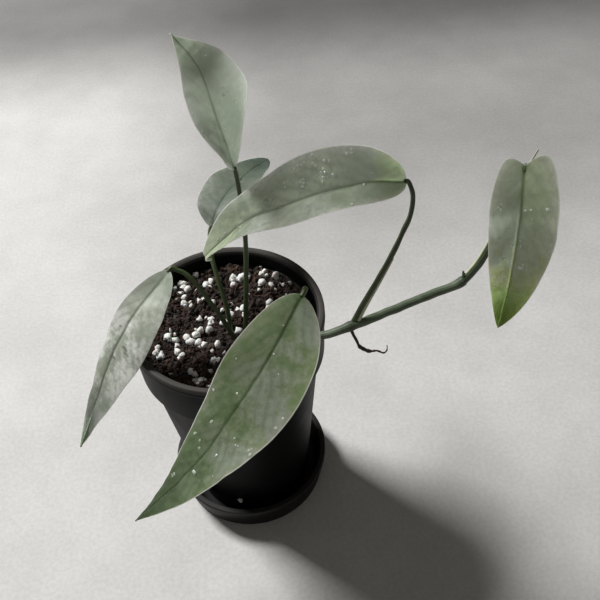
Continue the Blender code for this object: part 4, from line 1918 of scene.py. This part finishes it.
@dataclass
class Stage:
    """The pale floor, the soft lights and the camera."""

    eye: Point = (0.0379, -0.3013, 0.46184)
    pitch: float = 46.518
    roll: float = -5.429
    lens: float = 52.386
    sensor: float = 36.0
    floor_reach: float = 3.0
    floor_cuts: int = 24
    sky: Colour = (1.0, 0.96, 0.88)
    sky_strength: float = 0.11
    window: AreaLight = AreaLight("window", (-1.562, 1.378, 2.24), (0.0, 0.0, 0.05), 0.76, 141.0)
    front_fill: AreaLight = AreaLight("front_fill", (-0.4, -1.6, 1.5), (0.0, 0.0, 0.12), 1.4, 1.6)

    def build(self) -> None:
        """Sets up everything round the object."""
        self.floor()
        self.lights()
        self.camera()

    def floor(self) -> None:
        """A flat pale floor under the saucer."""
        count = self.floor_cuts + 1
        ticks = np.linspace(-self.floor_reach, self.floor_reach, count)
        vertices = np.array([(x, y, 0.0) for y in ticks for x in ticks])
        made = mesh_object("floor", vertices, grid_faces(count, count, False), FloorFinish().material())

    def lights(self) -> None:
        """A soft window behind to the left, a weak light in front, and a pale sky."""
        world = bpy.data.worlds.new("studio")
        bpy.context.scene.world = world
        world.use_nodes = True
        background = world.node_tree.nodes["Background"]
        background.inputs["Color"].default_value = (*self.sky, 1.0)
        background.inputs["Strength"].default_value = self.sky_strength
        self.window.build()
        self.front_fill.build()

    def camera(self) -> None:
        """The camera of the photo."""
        pitch, roll = math.radians(self.pitch), math.radians(self.roll)
        ahead = Vector((0.0, math.cos(pitch), -math.sin(pitch)))
        level = Vector((1.0, 0.0, 0.0))
        over = level.cross(ahead)
        right = level * math.cos(roll) + over * math.sin(roll)
        above = over * math.cos(roll) - level * math.sin(roll)
        lens = bpy.data.cameras.new("camera")
        lens.lens = self.lens
        lens.sensor_width = self.sensor
        lens.clip_start = 0.01
        made = bpy.data.objects.new("camera", lens)
        turn = Matrix((right, above, -ahead)).transposed().to_4x4()
        turn.translation = Vector(self.eye)
        made.matrix_world = turn
        bpy.context.scene.collection.objects.link(made)
        bpy.context.scene.camera = made


# The plant's own sizes, and each blade's tone with its painted light and shade

# Painted light and shade: the six blades share one leaf colour, but each tone below is set lighter or darker
# for how the light falls on that blade. The tip colours paint light on the upright and arching blades, and
# shade on the back, left, front and trailing ones.
UPRIGHT_TONE = LeafTone(
    green=(0.085, 0.108, 0.068), deep=(0.05, 0.07, 0.04),
    silver=(0.15, 0.17, 0.125), painted_tip=(0.21, 0.26, 0.17),
    silver_share=0.6, painted_tip_start=0.42, roughness=0.5, translucency=0.5,
)
BACK_TONE = LeafTone(
    green=(0.05, 0.066, 0.047), deep=(0.021, 0.031, 0.024),
    silver=(0.13, 0.15, 0.12), painted_tip=(0.018, 0.025, 0.02),
    silver_share=0.45, painted_tip_start=0.4, roughness=0.5,
)
ARCHING_TONE = LeafTone(
    green=(0.055, 0.076, 0.041), deep=(0.034, 0.05, 0.026),
    silver=(0.2, 0.235, 0.15), painted_tip=(0.27, 0.33, 0.2),
    silver_share=0.6, painted_tip_start=0.66, roughness=0.5, silver_start=0.2,
)
# The left blade's pale silver, strongest across its middle, is partly the leaf's own silver and partly a
# painted sheen highlight.
LEFT_TONE = LeafTone(
    green=(0.27, 0.31, 0.235), deep=(0.14, 0.17, 0.12),
    silver=(0.66, 0.7, 0.6), painted_tip=(0.012, 0.018, 0.011),
    silver_share=0.9, painted_tip_start=0.36, roughness=0.5, silver_start=0.14, translucency=0.55,
)
FRONT_TONE = LeafTone(
    green=(0.028, 0.039, 0.017), deep=(0.015, 0.022, 0.01),
    silver=(0.088, 0.115, 0.068), painted_tip=(0.01, 0.017, 0.005),
    silver_share=0.6, painted_tip_start=0.55, roughness=0.5, side_bias=-0.45, vein_share=0.25,
)
TRAILING_TONE = LeafTone(
    green=(0.074, 0.096, 0.04), deep=(0.037, 0.054, 0.02),
    silver=(0.165, 0.195, 0.105), painted_tip=(0.012, 0.017, 0.002),
    silver_share=0.5, painted_tip_start=0.36, roughness=0.5,
)

# Where the water stands on each wet blade: the shares of its length and of its half width
ARCHING_SPOTS = (
    (0.43, 0.7), (0.39, 0.6), (0.36, 0.45), (0.54, 0.5), (0.48, 0.4), (0.56, 0.88), (0.48, 0.75), (0.41, 0.4),
    (0.29, 0.85), (0.09, 0.6), (0.61, 0.25), (0.76, 0.0), (0.64, 0.85),
)
FRONT_SPOTS = (
    (0.57, 0.4), (0.57, -0.1), (0.56, -0.5), (0.66, -0.1), (0.67, 0.4), (0.74, -0.2), (0.31, 0.75),
    (0.46, -0.5), (0.39, -0.88), (0.44, -0.9), (0.48, -0.9), (0.54, -0.88), (0.48, 0.9), (0.72, 0.7),
    (0.66, 0.8), (0.81, 0.65), (0.69, -0.8),
)
TRAILING_SPOTS = (
    (0.11, 0.8), (0.29, 0.65), (0.48, -0.2), (0.57, 0.4), (0.49, 0.05), (0.61, -0.3), (0.66, 0.5),
    (0.49, 0.88),
)
UPRIGHT_SPOTS = (
    (0.59, 0.4), (0.67, 0.65), (0.51, 0.45), (0.57, -0.88), (0.36, -0.2), (0.26, 0.05), (0.43, -0.75),
    (0.44, -0.9),
)

LEFT_SCARS = ((0.42, -0.42), (0.4, -0.3), (0.49, -0.1), (0.33, 0.35))

GREEN_STEM = StemFinish("petiole_green", (0.045, 0.07, 0.022), (0.07, 0.1, 0.035), (0.06, 0.09, 0.03))
DARK_STEM = StemFinish("petiole_dark", (0.03, 0.045, 0.018), (0.045, 0.065, 0.025), (0.05, 0.075, 0.028))
VINE_SKIN = StemFinish("vine_skin", (0.065, 0.09, 0.05), (0.11, 0.14, 0.09), (0.05, 0.065, 0.038), 0.5)
ROOT_SKIN = StemFinish("root_skin", (0.03, 0.02, 0.014), (0.07, 0.048, 0.03), (0.1, 0.065, 0.045), 0.8)
SHEATH_SKIN = StemFinish("sheath_skin", (0.42, 0.47, 0.3), (0.5, 0.52, 0.38), (0.45, 0.46, 0.33), 0.6)


def make_blades() -> dict[str, Blade]:
    """Every blade by name."""
    blades = [
        Blade(
            "leaf_upright", [(14, 15, 218), (12, 13, 237), (9, 14, 253), (5, 19, 269), (-5, 30, 279)],
            (0.8, -0.75, 0.1), (-23, 15), 15, 17.5, -0.10, (0.80, 1.13), 0.0, (3.0, 1.12, 1.0, 0.46),
            UPRIGHT_TONE, vein_step=8.0, wetness=1.0, seed=2, spots=UPRIGHT_SPOTS,
        ),
        Blade(
            "leaf_back", [(-3, 32, 170), (1, 38, 177), (7, 52, 176), (16, 75, 168), (27, 107, 152)],
            (-0.3, -0.2, 0.9), (7, -33), 14, 13.2, 0.02, (0.65, 0.70), 3.0, (0.6, 2.45, -0.15, 0.33),
            BACK_TONE, vein_step=8.5, seed=3,
        ),
        Blade(
            "leaf_arching", [(89, -4, 217), (70, -12, 225), (43, -14, 221), (15, -12, 208), (-6, -10, 186)],
            (0.0, -0.3, 0.95), (26, -14), 15, 14.8, -0.22, (0.58, 0.82), 2.0, (1.5, 2.02, 0.54, 0.41),
            ARCHING_TONE, vein_step=9.0, vein_angle=35, wetness=1.5, seed=4, curl_start=0.955,
            spots=ARCHING_SPOTS,
        ),
        Blade(
            "leaf_left",
            [(-23.9, 4.6, 168.5), (-43, -12, 156), (-57, -20, 137), (-68, -28, 116), (-82, -38, 90)],
            (-0.5, -0.5, 0.7), (-5, 18), 8.5, 13.6, 0.31, (0.60, 1.12), 1.5, (3.0, 1.0, 0.42, 1.21),
            LEFT_TONE, vein_step=9.0, vein_angle=35, seed=5, scars=LEFT_SCARS,
        ),
        Blade(
            "leaf_front", [(39, -38, 187), (23, -65, 180), (5, -82, 165), (-16, -93, 143), (-45, -98, 114)],
            (0.0, -0.45, 0.9), (19, -42), 2, 18.9, 0.13, (0.57, 0.97), 1.5, (1.7, 2.11, -0.13, 0.68),
            FRONT_TONE, vein_step=11.0, vein_angle=28, wetness=0.9, seed=6, spots=FRONT_SPOTS,
        ),
        Blade(
            "leaf_trailing",
            [
                (140, -6.6, 221.7), (137.9, -16.2, 208.6), (136, -22.7, 190.1), (133.2, -29.1, 168.8),
                (128.6, -36.5, 151.3),
            ],
            (-0.3, -0.8, 0.5), (-16, 9), 15, 15.6, 0.14, (0.42, 0.83), 12.0, (1.4, 1.82, 0.52, 0.81),
            TRAILING_TONE, vein_step=9.0, vein_angle=40, wetness=0.9, seed=7, back_seat=True,
            spots=TRAILING_SPOTS,
        ),
    ]
    return {blade.name: blade for blade in blades}


SOIL_ROUTES: dict[str, list[Point]] = {
    "petiole_upright": [(8.8, -2.6, 130), (12.1, 4.3, 155), (14.6, 10.2, 180), (14.8, 13.2, 203)],
    "petiole_back": [(1.5, -2.8, 130), (0.4, 3.4, 142), (-2.2, 11.4, 153), (-4.4, 20.5, 162)],
    "petiole_left": [
        (3.8, -10.1, 130), (-1.6, -6.4, 143), (-6.2, -3.2, 152), (-10.4, -0.2, 159.4), (-13.9, 2.2, 164),
        (-17.2, 4.1, 166.8), (-20, 4.9, 168),
    ],
    "petiole_front": [
        (17, -10.4, 130), (25.6, -16.1, 145), (33.7, -25.1, 163), (38.9, -31, 180), (40.4, -33.4, 186.2),
    ],
}
HOOK_REACHES = {"petiole_upright": 3.0, "petiole_back": 3.0, "petiole_left": 1.8, "petiole_front": 3.0}
VINE_ROUTE: list[Point] = [
    (22, -15.6, 130), (34, -20.6, 139.9), (46.6, -23.6, 142.6), (55, -23.9, 145.3), (62, -23, 147.3),
    (75, -20.2, 149.2), (97, -14.4, 152.9), (107, -12.2, 154.3), (114, -10.7, 155.8), (118.3, -9.9, 158.3),
]
ARCHING_ROUTE: list[Point] = [
    (63.9, -21.4, 151.0), (67.4, -19.5, 157.2), (72.8, -17.2, 166.2), (78.1, -15, 175.5), (83.4, -12.6, 185.4),
    (87.5, -10.2, 194), (90.2, -8.6, 199.5), (91.6, -7, 205), (92, -5.6, 210), (91.3, -4.6, 213.6),
]
TRAILING_ROUTE: list[Point] = [
    (119.3, -9.8, 159.2), (121.7, -9.6, 162.6), (124.4, -9.4, 167.2), (127.3, -9, 173.6), (131, -8, 183),
    (135.4, -6, 195.4), (139.2, -3.6, 208), (140.8, -3.8, 215.6),
]
ROOT_ROUTE: list[Point] = [
    (61.4, -24.6, 144.6), (62.8, -26, 140.3), (65, -27.4, 136), (68.5, -28.4, 133.7), (72.7, -29, 133.5),
    (75.9, -29.3, 132), (77.8, -28.8, 133.3), (78, -28, 136.2),
]
SHOOT_OFFSET = (-1.3, 0.7, 0.7)
SHOOT_END: list[Point] = [(139.6, 0.6, 208.5), (145.8, 3, 216), (148.8, 4, 221.6)]
BUD_ROUTE: list[Point] = [(117.2, -9.6, 158.6), (117.2, -9.1, 161.2), (117, -8.8, 162.8)]
SHEATH_SPAN = (0.0, 0.4)
SHEATH_OFFSET = (1.45, -0.62, -0.56)


def make_stems(blades: dict[str, Blade]) -> list[Stem]:
    """Every stem, root and shoot.

    Args:
        blades: Every blade by name.

    Returns:
        The stems in the order that they are built.
    """
    depth = 12 * MM
    stems = [
        Stem(
            name, route, 1.3 * MM, 0.85, GREEN_STEM, nodes=(name,), depth=depth,
            blade=name.replace("petiole", "leaf"), reach=HOOK_REACHES[name] * MM, groove=0.12, seed=20 + i,
        )
        for i, (name, route) in enumerate(SOIL_ROUTES.items())
    ]
    arching = Stem(
        "petiole_arching", ARCHING_ROUTE, 1.5 * MM, 0.7, DARK_STEM, nodes=("petiole_arching",),
        blade="leaf_arching", reach=1.2 * MM, sink=4.5 * MM, groove=0.12, seed=31,
    )
    trailing = Stem(
        "petiole_trailing", TRAILING_ROUTE, 1.8 * MM, 0.6, DARK_STEM, nodes=("petiole_trailing",),
        blade="leaf_trailing", sink=3.5 * MM, groove=0.12, seed=32,
    )
    vine = Stem(
        "vine_stem", VINE_ROUTE, 2.05 * MM, 1.05, VINE_SKIN, nodes=("vine",), depth=depth,
        swells=((56.5, 2.6, 0.24), (114.5, 4.0, 0.2)), seed=33, sides=28, crook=0.12 * MM,
    )
    root = Stem(
        "aerial_root_skin", ROOT_ROUTE, 0.85 * MM, 0.35, ROOT_SKIN, Slot.ROOT, ("aerial_root",), seed=34,
        crook=0.15 * MM, spacing=0.35 * MM, sink=1.5 * MM, knobs=0.6,
    )
    offset = np.array(SHOOT_OFFSET)
    shoot_route = [tuple(np.array(point) + offset) for point in TRAILING_ROUTE[:-2]] + SHOOT_END
    shoot = Stem(
        "new_shoot_skin", shoot_route, 1.05 * MM, 0.35, SHEATH_SKIN, Slot.SHEATH, ("new_shoot",),
        seed=35, groove=0.2,
    )
    bud = Stem("node_bud", BUD_ROUTE, 0.9 * MM, 0.5, VINE_SKIN, seed=37, spacing=0.3 * MM)
    line = np.array([np.array(point) * MM for point in ARCHING_ROUTE])
    shares = np.linspace(*SHEATH_SPAN, 6)
    offset = np.array(SHEATH_OFFSET)
    sheath_route = [tuple(spline_point(line, share) / MM + offset * (1 - 0.4 * share)) for share in shares]
    sheath = Stem(
        "petiole_sheath_skin", sheath_route, 0.95 * MM, 0.35, SHEATH_SKIN, Slot.SHEATH, ("petiole_sheath",),
        seed=36, groove=0.3, sink=1.5 * MM,
    )
    return [*stems, arching, trailing, vine, root, shoot, bud, sheath]


def set_looks() -> None:
    """Plain colour response, so that the finishes show as they are."""
    view = bpy.context.scene.view_settings
    view.view_transform = "Standard"
    view.look = "None"


def main() -> None:
    """Builds every sub-assembly in order."""
    logging.basicConfig(level=logging.INFO, format="%(name)s: %(message)s")
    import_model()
    set_looks()
    Stage().build()
    Saucer().build()
    pot = Pot()
    pot.build()
    blades = make_blades()
    for stem in make_stems(blades):
        stem.build(blades)
    roots = [route[0][:2] for route in (*SOIL_ROUTES.values(), VINE_ROUTE)]
    PottingMix(pot, roots).build()
    dressed = {name: blade.build() for name, blade in blades.items()}
    WaterBeads(list(blades.values()), dressed).build()


if __name__ == "__main__":
    main()
